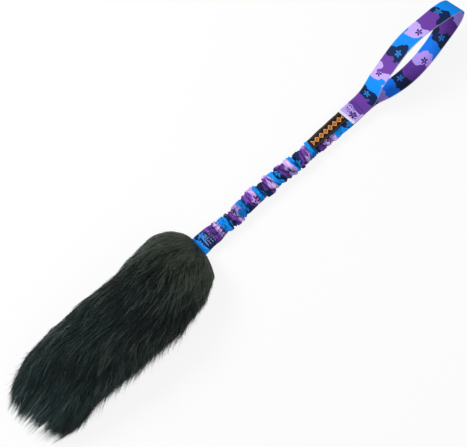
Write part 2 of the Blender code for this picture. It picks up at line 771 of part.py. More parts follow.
def build_handle(holder):
    look = material("handle_print", (0.36, 0.22, 0.72), 0.6)
    columns = 4
    rows = []
    for middle, roll, skew in strap_path():
        row = []
        for column in range(columns + 1):
            across = mix(-web_half, web_half, column / columns)
            side = Vector((-math.tan(skew), math.cos(roll), -math.sin(roll)))
            row.append(middle + side * across)
        rows.append(row)
    made = add_mesh("handle_strap", sheet(rows), look, holder)
    solidify(made, STRAP_THICKNESS, 0)

    cloth = material("sleeve_blue", (0.01, 0.26, 0.80), 0.6)
    rings = []
    for turn in [math.radians(a) for a in (15, 40, 65, 90)]:
        x = handle_x + FOLD_GAP / 2 + flat_half * (1 - math.cos(turn))
        rings.append(oval(x, 0, axis_z, web_half, flat_half * math.sin(turn), flat_squareness))
    end = split_x - STITCH_ROW_PITCH / 2
    rings.append(oval(end, 0, axis_z, web_half, flat_half, flat_squareness))
    add_mesh("sleeve_end", loft(rings), cloth, holder)

    look = material("throat_thread", (0.20, 0.07, 0.38), 0.6)
    start = split_x - THROAT_STITCH_INSET - THROAT_STITCH_LENGTH
    outer = flat_half + SEAM_GAP + STRAP_THICKNESS + thread_lift
    for name, side in (("throat_stitch_front", 1), ("throat_stitch_back", -1)):
        way = serpentine(
            start,
            THROAT_STITCH_LENGTH,
            stitched_half,
            5,
            lambda x, y: axis_z + side * outer,
            math.tan(HEM_SKEW),
        )
        thread(name, way, look, holder)


def stand_on_origin(empty):
    """Moves the toy so that the middle of its underside is the origin."""
    bpy.context.view_layer.update()
    depsgraph = bpy.context.evaluated_depsgraph_get()
    low = Vector((math.inf,) * 3)
    high = Vector((-math.inf,) * 3)
    for item in bpy.context.scene.objects:
        if item.type not in {"MESH", "CURVE"}:
            continue
        shape = item.evaluated_get(depsgraph)
        mesh = shape.to_mesh()
        for vertex in mesh.vertices:
            spot = shape.matrix_world @ vertex.co
            low = Vector(map(min, low, spot))
            high = Vector(map(max, high, spot))
        shape.to_mesh_clear()
    empty.location -= Vector(((low.x + high.x) / 2, (low.y + high.y) / 2, low.z))


def main():
    clear_scene()
    fur_end = pivot("fur_end", (0, 0, 0), None)
    sleeve_foot = pivot("sleeve_foot", (neck_x, 0, axis_z), fur_end)
    bungee = pivot("bungee", (sway_x, 0, axis_z), sleeve_foot)
    sleeve_head = pivot("sleeve_head", (top_start_x, 0, axis_z), bungee)
    handle = pivot("handle", (handle_x, 0, axis_z), sleeve_head)
    build_fur_pile(fur_end)
    build_hide(fur_end)
    build_core_strap(fur_end)
    build_fur_threads(fur_end)
    build_tab(sleeve_foot)
    build_gathered_sleeve(bungee)
    build_cord(bungee)
    build_sleeve_top(sleeve_head)
    build_label(sleeve_head)
    build_handle(handle)
    stand_on_origin(fur_end)


main()
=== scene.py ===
import json
import math

import bpy
import numpy as np
from mathutils import Matrix, Vector


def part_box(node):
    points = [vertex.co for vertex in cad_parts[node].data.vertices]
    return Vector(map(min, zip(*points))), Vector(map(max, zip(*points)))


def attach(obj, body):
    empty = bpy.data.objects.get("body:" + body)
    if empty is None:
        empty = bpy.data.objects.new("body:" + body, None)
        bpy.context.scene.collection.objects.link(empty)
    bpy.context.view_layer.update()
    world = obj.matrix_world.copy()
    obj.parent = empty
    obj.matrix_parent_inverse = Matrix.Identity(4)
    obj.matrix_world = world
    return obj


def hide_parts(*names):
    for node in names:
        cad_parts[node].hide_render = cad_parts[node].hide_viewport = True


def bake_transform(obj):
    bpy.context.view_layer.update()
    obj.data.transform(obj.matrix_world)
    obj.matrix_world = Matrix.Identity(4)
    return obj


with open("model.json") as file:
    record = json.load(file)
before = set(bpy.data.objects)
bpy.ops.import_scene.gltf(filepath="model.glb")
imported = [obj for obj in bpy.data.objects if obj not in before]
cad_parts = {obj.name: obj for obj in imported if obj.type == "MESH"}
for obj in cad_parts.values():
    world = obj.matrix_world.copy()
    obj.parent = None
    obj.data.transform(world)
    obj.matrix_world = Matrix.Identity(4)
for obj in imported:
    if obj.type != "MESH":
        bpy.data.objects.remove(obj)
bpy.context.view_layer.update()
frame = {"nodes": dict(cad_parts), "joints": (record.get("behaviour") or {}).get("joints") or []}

# Places that the joints and solids give, in metres
jointAt = {j["name"]: Vector(j["pos_m"]) for j in frame["joints"] if "pos_m" in j}
neckAt, foldAt = jointAt["neck_fold"], jointAt["handle_fold"]
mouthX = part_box("fur_pile")[1].x  # the fur's mouth, where the sleeve's own lengths start
middleY, axisZ = neckAt.y, neckAt.z
print("frame loaded, axis at", round(axisZ, 4))


def hexColour(code):
    parts = [int(code[i:i + 2], 16) / 255 for i in (0, 2, 4)]
    return (*[p / 12.92 if p <= 0.04045 else ((p + 0.055) / 1.055) ** 2.4 for p in parts], 1.0)


class Wire:
    # One output of a shader node. Sums and products of wires add Math nodes.
    def __init__(self, look, socket):
        self.look, self.socket = look, socket

    def math(self, operation, *others):
        sockets = dict(enumerate((self, *others)))
        return self.look.add("Math", {"operation": operation}, sockets)

    def __add__(self, other):
        return self.math("ADD", other)

    def __sub__(self, other):
        return self.math("SUBTRACT", other)

    def __mul__(self, other):
        return self.math("MULTIPLY", other)

    def __truediv__(self, other):
        return self.math("DIVIDE", other)

    def __rsub__(self, other):
        return self.look.add("Math", {"operation": "SUBTRACT"}, {0: other, 1: self})

    __radd__ = __add__
    __rmul__ = __mul__

    def other(self, name):
        return Wire(self.look, self.socket.node.outputs[name])

    def above(self, edge, soft):  # 0 below the edge, 1 above it, with a soft step
        sockets = {"Value": self, "From Min": edge - soft, "From Max": edge + soft}
        return self.look.add("MapRange", {"clamp": True}, sockets)

    def spread(self, low, high):  # takes 0 to 1 to low to high
        return self.look.add("MapRange", {}, {"Value": self, "To Min": low, "To Max": high})


class Look:
    # The nodes of a material, or of the world, that are being wired
    def __init__(self, name, world=None):
        self.owner = world or bpy.data.materials.new(name)
        self.owner.use_nodes = True
        self.tree = self.owner.node_tree
        self.tree.nodes.clear()

    def add(self, kind, settings=None, sockets=None, out=0):
        node = self.tree.nodes.new("ShaderNode" + kind)
        for key, value in (settings or {}).items():
            if key == "stops":
                ramp = node.color_ramp
                while len(ramp.elements) < len(value):
                    ramp.elements.new(1.0)
                for stop, (place, colour) in zip(ramp.elements, value):
                    stop.position, stop.color = place, colour
            else:
                setattr(node, key, value)
        for key, value in (sockets or {}).items():
            if isinstance(value, Wire):
                self.tree.links.new(value.socket, node.inputs[key])
            else:
                node.inputs[key].default_value = value
        return Wire(self, node.outputs[out])

    def blend(self, factor, first, second, way="MIX"):
        settings = {"data_type": "RGBA", "blend_type": way}
        return self.add("Mix", settings, {0: factor, 6: first, 7: second}, 2)

    def spot(self):  # the place in the toy's own frame
        return self.add("TexCoord", {}, out=3)

    def split(self, vector):  # its X, with its Y and Z as the other outputs
        return self.add("SeparateXYZ", {}, {0: vector})

    def noise(self, spot, scale, detail=2.0, rough=0.5, stretch=None, dimensions="3D"):
        if stretch:
            sockets = {0: spot, 1: stretch}
            spot = self.add("VectorMath", {"operation": "MULTIPLY"}, sockets)
        sockets = {"Vector": spot, "Scale": scale, "Detail": detail, "Roughness": rough}
        return self.add("TexNoise", {"noise_dimensions": dimensions}, sockets)

    def finish(self, bump=None, lift=0.0002, strength=0.5, **surface):
        sockets = {key.replace("_", " "): value for key, value in surface.items()}
        if bump is not None:
            relief = {"Height": bump, "Distance": lift, "Strength": strength}
            sockets["Normal"] = self.add("Bump", {}, relief)
        return self.close(self.add("BsdfPrincipled", {}, sockets))

    def close(self, shader, kind="OutputMaterial"):
        target = self.tree.nodes.new("ShaderNode" + kind)
        self.tree.links.new(shader.socket, target.inputs["Surface"])
        return self.owner


def clothSpot(look):  # along and across the cloth, in centimetres
    spot = look.add("UVMap", {"uv_map": "cloth"})
    parts = look.split(spot)
    return spot, parts, parts.other("Y")


def weaveRelief(along, across, ribs, picks):
    # Plain weave: ribs along the cloth, crossed by finer picks that step over and under
    wale = (across * (math.pi * ribs)).math("SINE")
    pick = (along * (math.pi * picks)).math("SINE")
    return wale * pick * 0.5 + 0.5


# Print on the webbing and the sleeve, in centimetres of cloth and shares of the repeat
printing = {
    "repeat": 7.4, "ends": (0.255, 0.51, 0.745),  # where lavender, violet and navy end
    "edge": 0.006, "inset": 0.004,
    "lavender": hexColour("CBB0FF"), "violet": hexColour("7242AA"),
    "navy": hexColour("03214F"), "blue": hexColour("0092FF"),
    # noise that bends the bands, as scale, detail and roughness, here and below
    "waver": (0.62, 2.2, 0.42), "waverShare": 0.30,
    "ripple": (2.3, 0.9), "rippleShare": 0.035,
    "motifOnLavender": hexColour("4A1C80"), "motifOnNavy": hexColour("2389DC"),
    "petals": 5, "flowerAt": 0.52, "flowerSwing": 1.3,
    "flowerSize": 0.40, "flowerCore": 0.10, "flowerEye": 0.07, "flowerEdge": 0.02,
    "hem": hexColour("EEE8FB"), "hemEdge": 0.02, "selvedge": 1.21, "selvedgePale": 0.35,
    "reverse": 8.0,  # added to the cloth's across coordinate on its reverse side
    # painted shade on the cloth's reverse side: its colours deepened and dimmed
    "reverseShadeDeep": 0.34, "reverseShade": 0.10, "dim": (0.0, 0.0, 0.02, 1.0),
    "mottle": (3.0, 3.0, 0.6), "mottleDark": 0.10, "mottleTint": (0.0, 0.0, 0.03, 1.0),
    # rubbed and soiled places: from where in their noise, and how much
    "rub": (3.4, 3.0, 0.62, (1.0, 0.40, 1.0)), "rubEdge": 0.08,
    "rubPale": (0.56, 0.26), "rubDark": (0.55, 0.42), "rubTint": (0.004, 0.0, 0.03, 1.0),
    # painted highlight on the fold crests, and painted shade deep in the creases
    "crest": (0.16, 0.16), "crestLight": 0.36, "crestTint": (0.66, 0.46, 0.48, 1.0),
    "creaseShade": 0.90, "creaseShadeTint": (0.0, 0.0, 0.012, 1.0),
    "weave": (11.0, 17.0), "fuzz": (42.0, 2.0, 0.6), "fuzzShare": 0.35,
    "relief": 0.00022, "reliefStrength": 0.55, "sheen": 0.16,
}


def bandColours(look, share):
    p = printing
    soft = p["edge"]
    stops = [(0.0, p["lavender"])]
    for end, before, after in zip(p["ends"], ("lavender", "violet", "navy"), ("violet", "navy", "blue")):
        stops += [(end - soft, p[before]), (end + soft, p[after])]
    stops += [(0.99, p["blue"]), (1.0, p["lavender"])]
    return look.add("ValToRGB", {"stops": stops}, {0: share})


def flowerMask(even, across, centre, side):
    # A flower in each repeat, a little to one side of the cloth's middle in turn
    p = printing
    swing = ((even.math("FLOOR") * 0.5).math("FRACT") - 0.25) * p["flowerSwing"]
    u = (even.math("FRACT") - centre) * p["repeat"]
    v = across - swing * side
    reach = (u * u + v * v).math("SQRT")
    petal = (v.math("ARCTAN2", u) * (p["petals"] / 2)).math("COSINE").math("ABSOLUTE")
    within = (petal * p["flowerSize"] + p["flowerCore"] - reach).above(0.0, p["flowerEdge"])
    return within * reach.above(p["flowerEye"], p["flowerEdge"])


def creaseShadeAndWear(look, spot, colour):
    # Rubbed patches of the cloth are paler or darker at random, its crests get a painted highlight, and
    # cloth deep in a crease gets painted shade
    p = printing
    crease = look.split(look.add("UVMap", {"uv_map": "crease"}))
    crest = 1.0 - crease.above(*p["crest"])
    rub = look.noise(spot, *p["rub"], dimensions="2D")
    (paleFrom, pale), (darkFrom, dark) = p["rubPale"], p["rubDark"]
    colour = look.blend(rub.above(paleFrom, p["rubEdge"]) * pale, colour, p["crestTint"], "DODGE")
    colour = look.blend((1.0 - rub).above(darkFrom, p["rubEdge"]) * dark, colour, p["rubTint"])
    # painted highlight on the crests of the folds
    colour = look.blend(crest * p["crestLight"], colour, p["crestTint"], "DODGE")
    # painted shade deep in the creases and pucker grooves
    return look.blend(crease * p["creaseShade"], colour, p["creaseShadeTint"])


def printedCloth(name, direction, shift, hemAt=None, creased=False):
    # Wavy bands of four colours with small flowers, printed on plain weave
    p = printing
    look = Look(name)
    spot, along, across = clothSpot(look)
    reverse = across.above(p["reverse"] / 2, 0.1)
    across = across - reverse * p["reverse"]
    waver = look.noise(spot, *p["waver"], dimensions="2D")
    ripple = (across * p["ripple"][0] + along * p["ripple"][1]).math("SINE")
    even = along * (direction / p["repeat"]) + shift
    share = (even + (waver - 0.5) * p["waverShare"] + ripple * p["rippleShare"]).math("FRACT")
    colour = bandColours(look, share)
    first, second, third = p["ends"]
    onLavender = (first - p["edge"] - share).above(0.0, p["inset"])
    onNavy = share.above(second + p["edge"], p["inset"]) * (third - p["edge"] - share).above(0.0, p["inset"])
    flowers = ((first * p["flowerAt"], onLavender, "motifOnLavender", 1.0),
               (lerp(second, third, p["flowerAt"]), onNavy, "motifOnNavy", -1.0))
    for centre, within, tint, side in flowers:
        colour = look.blend(flowerMask(even, across, centre, side) * within, colour, p[tint])
    mottle = look.noise(spot, *p["mottle"], dimensions="2D")
    colour = look.blend(mottle.spread(0.0, p["mottleDark"]), colour, p["mottleTint"])
    selvedge = across.math("ABSOLUTE").above(p["selvedge"], p["hemEdge"])
    colour = look.blend(selvedge * p["selvedgePale"], colour, p["hem"])
    if hemAt is not None:  # the cut end, sealed by heat
        colour = look.blend(1.0 - along.above(hemAt, p["hemEdge"]), colour, p["hem"])
    # painted shade on the reverse side
    colour = look.blend(reverse * p["reverseShadeDeep"], colour, colour, "MULTIPLY")
    colour = look.blend(reverse * p["reverseShade"], colour, p["dim"])
    # painted shade in the creases and painted highlight on the crests, with rubbed wear
    if creased:
        colour = creaseShadeAndWear(look, spot, colour)
    fuzz = look.noise(spot, *p["fuzz"], dimensions="2D")
    weave = weaveRelief(along, across, *p["weave"])
    return look.finish(bump=weave + fuzz * p["fuzzShare"], lift=p["relief"], strength=p["reliefStrength"],
                       Base_Color=colour, Roughness=mottle * 0.18 + 0.55, Specular_IOR_Level=p["sheen"])


def clothMesh(name, grid, uv, material, wrap=False, crease=None):
    # Skins a grid of points with quads. With wrap, the last column joins the first.
    rows, columns = grid.shape[:2]
    start = np.arange(rows - 1)[:, None] * columns
    count = columns if wrap else columns - 1
    near = np.arange(count)[None, :]
    after = (near + 1) % columns
    quads = np.stack([start + near, start + after, start + columns + after, start + columns + near], -1)
    corners = (rows - 1, count, 4)
    across = np.broadcast_to(np.stack([near, near + 1, near + 1, near], -1), corners)
    along = np.broadcast_to((np.arange(rows - 1)[:, None] + np.array([0, 0, 1, 1]))[:, None], corners)
    maps = {"cloth": uv[along, across]}
    if crease is not None:
        maps["crease"] = crease[along, across]
    return meshObject(name, grid, quads.reshape(-1, 4), maps, material)


def meshObject(name, points, quads, maps, material):
    mesh = bpy.data.meshes.new(name)
    points = np.ascontiguousarray(points, np.float32).reshape(-1, 3)
    mesh.vertices.add(len(points))
    mesh.vertices.foreach_set("co", points.ravel())
    mesh.loops.add(quads.size)
    mesh.loops.foreach_set("vertex_index", np.ascontiguousarray(quads, np.int32).ravel())
    mesh.polygons.add(len(quads))
    mesh.polygons.foreach_set("loop_start", np.arange(0, quads.size, 4, dtype=np.int32))
    mesh.update(calc_edges=True)
    for layer, places in maps.items():
        flat = np.ascontiguousarray(places, np.float32).ravel()
        mesh.uv_layers.new(name=layer).uv.foreach_set("vector", flat)
    mesh.shade_smooth()
    mesh.validate()
    mesh.materials.append(material)
    return addToScene(bpy.data.objects.new(name, mesh))


def tubeQuads(count, rings, sides):
    # Faces of many small open tubes, each with as many rings and sides
    first = (np.arange(count)[:, None, None] * rings + np.arange(rings - 1)[None, :, None]) * sides
    a = np.arange(sides)[None, None, :]
    b = (a + 1) % sides
    return np.stack([first + a, first + b, first + sides + b, first + sides + a], -1).reshape(-1, 4)


def addToScene(item):
    bpy.context.scene.collection.objects.link(item)
    return item


def together(*parts):
    # One array of points, or of map places, from arrays of their coordinates
    return np.stack(np.broadcast_arrays(*parts), -1)


def unit(vectors, least=0.0):
    return vectors / np.maximum(np.linalg.norm(vectors, axis=-1, keepdims=True), least)


def smoothStep(start, end, value):
    t = np.clip((value - start) / (end - start), 0.0, 1.0)
    return t * t * (3 - 2 * t)


def lerp(a, b, t):
    return a + (b - a) * t


def curveThrough(table, at, column=1):
    # A smooth curve through one column of a table whose first column rises
    table = np.asarray(table, float)
    x, y = table[:, 0], table[:, column]
    slope = np.gradient(y, x)
    at = np.clip(at, x[0], x[-1])
    i = np.clip(np.searchsorted(x, at, "right") - 1, 0, len(x) - 2)
    span = x[i + 1] - x[i]
    t = (at - x[i]) / span
    p, q = slope[i] * span, slope[i + 1] * span
    d = y[i + 1] - y[i]
    return y[i] + t * p + t * t * (3 * d - 2 * p - q) + t ** 3 * (p + q - 2 * d)


# Handle: one strap, printed through, from its front hem round the loop to its back hem
strap = {
    "width": 0.0254, "thickness": 0.0015, "layerGap": 0.0003, "clothHalf": 0.0011,
    "hemFromFold": 0.0036, "throat": 0.025, "loop": 0.1688, "spread": 0.0622, "swing": 0.0142,
    "roll": math.radians(30), "tipRoll": math.radians(8),
    "hemSkew": math.radians(9.6), "loopSkew": math.radians(5), "tipSkew": math.radians(16),
    "throatSteps": 24, "loopSteps": 300, "acrossSteps": 13,
    "edge": (0.35, 2.6, 0.5),  # how thin the selvedge is, and how soon it is full
    "outline": ((0.0, 0.072), (0.06, 0.15), (0.15, 0.40), (0.28, 0.72), (0.40, 0.92), (0.52, 1.0),
                (0.66, 0.91), (0.79, 0.70), (0.90, 0.47), (0.965, 0.27), (1.0, 0.0)),
    "sway": ((0.0, 0.0), (0.35, 0.17), (0.55, 0.45), (0.76, 0.70), (1.0, 1.0)),
    "rise": ((0.0, 0.0), (0.06, 0.19), (0.15, 0.50), (0.28, 0.80), (0.40, 0.97), (0.52, 1.02),
             (0.75, 1.20), (1.0, 1.36)),
}


def strapLine():
    # Middle line, roll and skew of the strap, in the toy's frame
    s = strap
    half = s["width"] / 2
    layer = s["clothHalf"] + s["layerGap"] + s["thickness"] / 2
    hemX = foldAt.x + s["hemFromFold"]
    splitX = hemX + s["throat"]
    top = [(a, b * s["spread"] / 2) for a, b in s["outline"]]
    top[0] = (0.0, layer)
    closed = np.array(top + [(a, -b) for a, b in reversed(top[:-1])])
    steps = np.diff(closed, axis=0) * (s["loop"], 1.0)
    chords = np.concatenate([[0.0], np.cumsum(np.hypot(*steps.T))])
    table = np.column_stack([chords / chords[-1], closed])
    at = np.linspace(0, 1, s["loopSteps"] + 1)
    share = np.clip(curveThrough(table, at, 1), 0, 1)
    spread = curveThrough(table, at, 2)
    opened = smoothStep(0, 0.2, share)
    middleUp = s["spread"] / 2 * math.cos(s["roll"]) + half * math.sin(s["roll"]) + s["thickness"] / 2
    spreadRoll = s["roll"] * opened
    roll = lerp(spreadRoll, s["tipRoll"], smoothStep(0.7, 1, share))
    skew = lerp(s["hemSkew"], s["loopSkew"], smoothStep(0, 0.4, share))
    skew = lerp(skew, s["tipSkew"], smoothStep(0.6, 1, share))
    loopPoints = together(
        splitX + s["loop"] * share,
        middleY + s["swing"] * curveThrough(s["sway"], share) + np.sin(spreadRoll) * spread,
        axisZ + (middleUp - axisZ) * curveThrough(s["rise"], share) + np.cos(spreadRoll) * spread,
    )
    xs = np.linspace(hemX, splitX, s["throatSteps"], endpoint=False)
    flat = np.zeros_like(xs)
    front = together(xs, middleY, axisZ + layer)
    back = together(xs, middleY, axisZ - layer)[::-1]
    points = np.concatenate([front, loopPoints, back])
    rolls = np.concatenate([flat, roll, flat])
    skews = np.concatenate([flat + s["hemSkew"], skew, flat + s["hemSkew"]])
    return points, rolls, skews


def buildStrap():
    s = strap
    points, roll, skew = strapLine()
    side = together(-np.tan(skew), np.cos(roll), -np.sin(roll))
    up = unit(np.cross(np.gradient(points, axis=0), side))
    length = np.concatenate([[0.0], np.cumsum(np.linalg.norm(np.diff(points, axis=0), axis=1))])
    # The section runs over the top, round the selvedge and back underneath
    half, thick = s["width"] / 2, s["thickness"] / 2
    across = np.sin(np.linspace(-1, 1, s["acrossSteps"]) * math.pi / 2)
    least, growth, power = s["edge"]
    over = thick * np.minimum(1.0, least + growth * (1 - np.abs(across)) ** power)
    v = np.concatenate([across, across[::-1]])
    w = np.concatenate([over, -over[::-1]])
    grid = points[:, None] + side[:, None] * (v * half)[None, :, None] + up[:, None] * w[None, :, None]
    # Both cut ends are closed
    grid = np.concatenate([(grid[:1] + grid[:1, ::-1]) / 2, grid, (grid[-1:] + grid[-1:, ::-1]) / 2])
    length = np.concatenate([length[:1], length, length[-1:]])
    uv = together(length[:, None] * 100, np.concatenate([v, v[:1]]) * half * 100)
    uv[:, len(across):-1, 1] += printing["reverse"]
    look = printedCloth("printedStrap", 1, 0.02, hemAt=0.34)
    made = clothMesh("handleStrap", grid, uv, look, wrap=True)
    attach(made, "handle")
    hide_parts("handle_strap")
    return length[-1]


strapLength = buildStrap()
print("strap made,", round(strapLength, 3), "m long")


# Sleeve: one printed tube of cloth, flat where it is sewn and gathered over the cord between
sleeve = {
    # x from the fur's mouth, half width, half height, depth of the folds and boxiness; in mm
    "shape": ((-6.0, 13.1, 1.35, 0.0, 5.0), (1.5, 13.1, 1.35, 0.0, 5.0), (6.0, 13.1, 1.3, 0.0, 5.0),
              (13.0, 12.6, 1.7, 0.05, 4.2), (20.0, 12.9, 2.8, 0.4, 3.2), (26.0, 13.3, 4.5, 1.5, 2.6),
              (34.0, 12.6, 6.6, 3.6, 2.2), (42.0, 12.2, 7.7, 4.9, 2.1), (60.0, 12.5, 8.0, 5.2, 2.1),
              (120.0, 12.6, 8.0, 5.4, 2.1), (170.0, 12.5, 8.0, 5.2, 2.1), (187.0, 12.1, 7.2, 4.6, 2.2),
              (200.0, 12.1, 5.4, 4.1, 2.4), (212.0, 12.1, 3.8, 3.2, 2.8), (224.0, 12.2, 2.3, 1.7, 3.4),
              (234.0, 12.3, 1.35, 0.3, 4.6), (241.0, 12.5, 1.15, 0.0, 5.0), (266.0, 12.5, 1.1, 0.0, 5.0)),
    # sideways run of the tube's middle, in mm, which the gathers push about
    "drift": ((0.0, -0.3), (16.0, 0.3), (30.0, -0.2), (42.0, -0.9), (70.0, -0.3), (104.0, 0.4), (134.0, 0.2),
              (158.0, -0.9), (190.0, -1.3), (218.0, -1.6), (240.0, -0.7), (266.0, -0.4)),
    "around": 120, "step": 0.0005, "thickness": 0.0007, "floorClear": 0.0002,
    "folds": 20, "foldsFrom": 0.026, "foldsTo": 0.226, "foldWidths": (0.55, 1.45),
    "fullDepth": 0.0048, "aside": 0.0009, "lean": 0.0024, "slant": 0.0058, "slantTurn": (0.4, 0.7),
    "wander": ((0.0011, 2, 3600), (0.0007, 3, 170)),  # depth, waves round the tube and rate along it
    "pinch": 0.06,  # share of a fold's length by which its sides draw together
    "crestPower": 0.60, "bulge": (0.70, 0.26, 0.22), "fullest": 1.12,
    "heightShare": 0.82,  # of a fold's depth
    # the second crease of the folds that stand out more than this
    "splitFrom": 0.4, "splitDepth": 0.40, "splitWidth": 0.10,
    "pleats": (3.3, 0.55, 0.35), "pleatDepth": 0.0018, "grain": (0.00022, 11, 17),
    "puckers": 6, "puckerDepth": 0.0009, "puckerBend": (0.9, 260), "puckerShade": 0.8,
    "puckerStart": (0.0175, 0.027), "puckerEnd": (0.033, 0.046),
    "cordClear": 0.0048, "cordEnd": (0.190, 0.208), "flatClear": 0.0012,
    # length of print in a length of gathered sleeve, and where the gathers start and end
    "fullness": 2.6, "gatherStart": (0.018, 0.040), "gatherEnd": (0.190, 0.226),
    "measured": (-0.01, 0.28, 600),  # from where to where the cloth is measured, and in how many steps
}
dice = np.random.default_rng(23)


def sleeveShape(x):  # half width, half height, depth of the folds, boxiness
    shape = np.array(sleeve["shape"])
    shape[:, :4] /= 1000.0
    return [curveThrough(shape, x, k) for k in (1, 2, 3, 4)]


def clothTo(x):
    # Length of flat cloth from the start of the tab to a place on the sleeve
    s = sleeve
    at = np.linspace(*s["measured"])
    gathered = smoothStep(*s["gatherStart"], at) * (1 - smoothStep(*s["gatherEnd"], at))
    run = np.cumsum(lerp(1.0, s["fullness"], gathered)) * (at[1] - at[0])
    return np.interp(x, at, run)


def foldTables():
    # Uneven folds: where each ends, how it slants, leans and stands out
    n = sleeve["folds"]
    widths = dice.uniform(*sleeve["foldWidths"], n)
    shares = np.concatenate([[0.0], np.cumsum(widths)]) / widths.sum()
    return {
        "ends": lerp(sleeve["foldsFrom"], sleeve["foldsTo"], shares),
        "slant": dice.uniform(-1, 1, n + 1) * sleeve["slant"],
        "lean": dice.uniform(-1, 1, n),
        "out": dice.uniform(0.0, 1.0, n),
        "bulgeAt": dice.uniform(0, math.tau, n),
        "phase": dice.uniform(0, math.tau, n),
        "aside": dice.uniform(-1, 1, n) * sleeve["aside"],
    }


foldFacts = foldTables()


def foldAround(x, turn):
    # Which fold a point is in. The creases slant, and wander round the tube.
    s, folds = sleeve, foldFacts
    slant = np.interp(x, folds["ends"], folds["slant"])
    lag, share = s["slantTurn"]
    tilt = slant * (np.sin(turn + lag) + share * np.cos(turn))
    (wide, waves, rate), (fine, fineWaves, fineRate) = s["wander"]
    wander = wide * np.sin(waves * turn + slant * rate) + fine * np.sin(fineWaves * turn + x * fineRate)
    fold = np.interp(x + tilt + wander, folds["ends"], np.arange(s["folds"] + 1))
    return fold, np.clip(fold.astype(int), 0, s["folds"] - 1), tilt


def foldShape(fold, i, turn, deep, full):
    # How deep the cloth lies in its folds, and how near a crest it is
    s, folds = sleeve, foldFacts
    part, phase = fold - i, folds["phase"][i]
    crest = np.abs(np.sin(math.pi * part)) ** s["crestPower"]
    # Some folds are split by a shallow second crease on one side
    split = np.clip(np.sin(turn - phase), 0, 1) ** 2 * (folds["out"][i] > s["splitFrom"])
    crest = crest - s["splitDepth"] * split * np.exp(-((part - 0.5) / s["splitWidth"]) ** 2)
    least, more, oneSide = s["bulge"]
    out = least + more * folds["out"][i] + oneSide * np.cos(turn - folds["bulgeAt"][i])
    sink = deep * np.clip(1 - crest * np.clip(out, 0, s["fullest"]), -0.1, 1.0)
    # Fine pleats run round the tube, sharp at the bottom and soft on top
    rate, sway, doubleSway = s["pleats"]
    ridge = np.sin(math.pi * (rate * fold + sway * np.sin(turn + phase) + doubleSway * np.sin(2 * turn)))
    patch = 0.5 + 0.5 * np.sin(3 * turn + 4 * phase + fold * 2)
    sink = sink + s["pleatDepth"] * (1 - np.abs(ridge)) ** 3 * patch * full
    depth, waves, rate = s["grain"]
    return sink + depth * np.sin(waves * turn + fold * rate) * full, crest


def puckers(x, turn):
    # Small grooves that run out of the gathers into the flat lower end
    s = sleeve
    share, rate = s["puckerBend"]
    within = smoothStep(*s["puckerStart"], x) * (1 - smoothStep(*s["puckerEnd"], x))
    wave = np.abs(np.sin(s["puckers"] * turn + share * np.sin(x * rate + 2 * turn)))
    return within, (1 - wave) ** 2 * within


def closeRound(values):
    return np.concatenate([values, values[:, :1]], axis=1)


def driftAt(x):  # sideways place of the tube's middle
    return curveThrough(np.array(sleeve["drift"]) / 1000.0, x)


def sleeveGrid(startX, endX):
    # Points and cloth coordinates of the tube between two places, from the fur's mouth
    s, folds = sleeve, foldFacts
    x = np.linspace(startX, endX, round((endX - startX) / s["step"]) + 1)[:, None]
    turn = np.linspace(0, math.tau, s["around"], endpoint=False)[None, :]
    w, h, deep, box = sleeveShape(x)
    full = np.clip(deep / s["fullDepth"], 0, 1)
    fold, i, tilt = foldAround(x, turn)
    part = fold - i
    long = (folds["ends"][1:] - folds["ends"][:-1])[i]
    sink, crest = foldShape(fold, i, turn, deep, full)
    width = w - sink
    clear = lerp(s["cordClear"], s["flatClear"], smoothStep(*s["cordEnd"], x))
    height = np.maximum(h - sink * s["heightShare"], np.minimum(h, clear))
    puckered, groove = puckers(x, turn)
    height = height + s["puckerDepth"] * (puckered - groove)
    c, q = np.cos(turn), np.sin(turn)
    y = width * np.sign(c) * np.abs(c) ** (2 / box)
    z = height * np.sign(q) * np.abs(q) ** (2 / box)
    lean = folds["lean"][i] * s["lean"] * (crest - 0.5) - s["pinch"] * long * np.sin(math.tau * part)
    drift = driftAt(x) + folds["aside"][i] * np.sin(math.pi * part) * full
    points = (mouthX + x + lean * full, middleY + y + drift, np.maximum(axisZ + z, s["floorClear"]))
    # The cloth's own coordinates: along it, with what the folds take up, and across from the middle
    # of each side
    along = clothTo(x) + (tilt + 0.002 * np.sin(math.tau * part)) * full
    across = np.cos(np.linspace(0, math.tau, s["around"] + 1))
    across = np.arcsin(np.clip(across, -1, 1)) / (math.pi / 2)
    uv = together(closeRound(along) * 100, across * strap["width"] / 2 * 100)
    # how deep the cloth lies in its folds and pucker grooves, for the painted shade in the creases
    depth = (sink - 0.25 * deep) / (0.75 * s["fullDepth"]) + s["puckerShade"] * groove
    return together(*points), uv, together(closeRound(np.clip(depth, 0, 1)), across)


def addThickness(item, thickness):
    layer = item.modifiers.new("Thickness", "SOLIDIFY")
    layer.thickness, layer.offset = thickness, -1.0


def buildSleeve():
    look = printedCloth("printedSleeve", -1, 0.93, creased=True)
    lengths = (
        # name, start, end, bodies, blend start, blend end, nodes that it stands for, how it is held
        ("tabCloth", -0.004, 0.0335, ("fur_end", "sleeve_foot"), 0.0, 0.004, ("sleeve_tab",), "laid"),
        ("collarCloth", 0.0325, 0.0475, ("sleeve_foot", "bungee"), 0.034, 0.046, (), "gathered"),
        ("gatheredCloth", 0.0465, 0.2275, ("bungee", "sleeve_head"), 0.047, 0.187,
         ("gathered_sleeve", "sleeve_top"), "gathered"),
        ("topCloth", 0.2270, 0.2655, ("sleeve_head", "handle"), 0.2385, 0.2435, ("sleeve_end",), "laid"),
    )
    for name, start, end, bodies, first, last, nodes, held in lengths:
        grid, uv, crease = sleeveGrid(start, end)
        made = clothMesh(name, grid, uv, look, wrap=True, crease=crease)
        addThickness(made, sleeve["thickness"])
        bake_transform(made)
        if nodes:
            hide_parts(*nodes)


buildSleeve()
print("sleeve made")


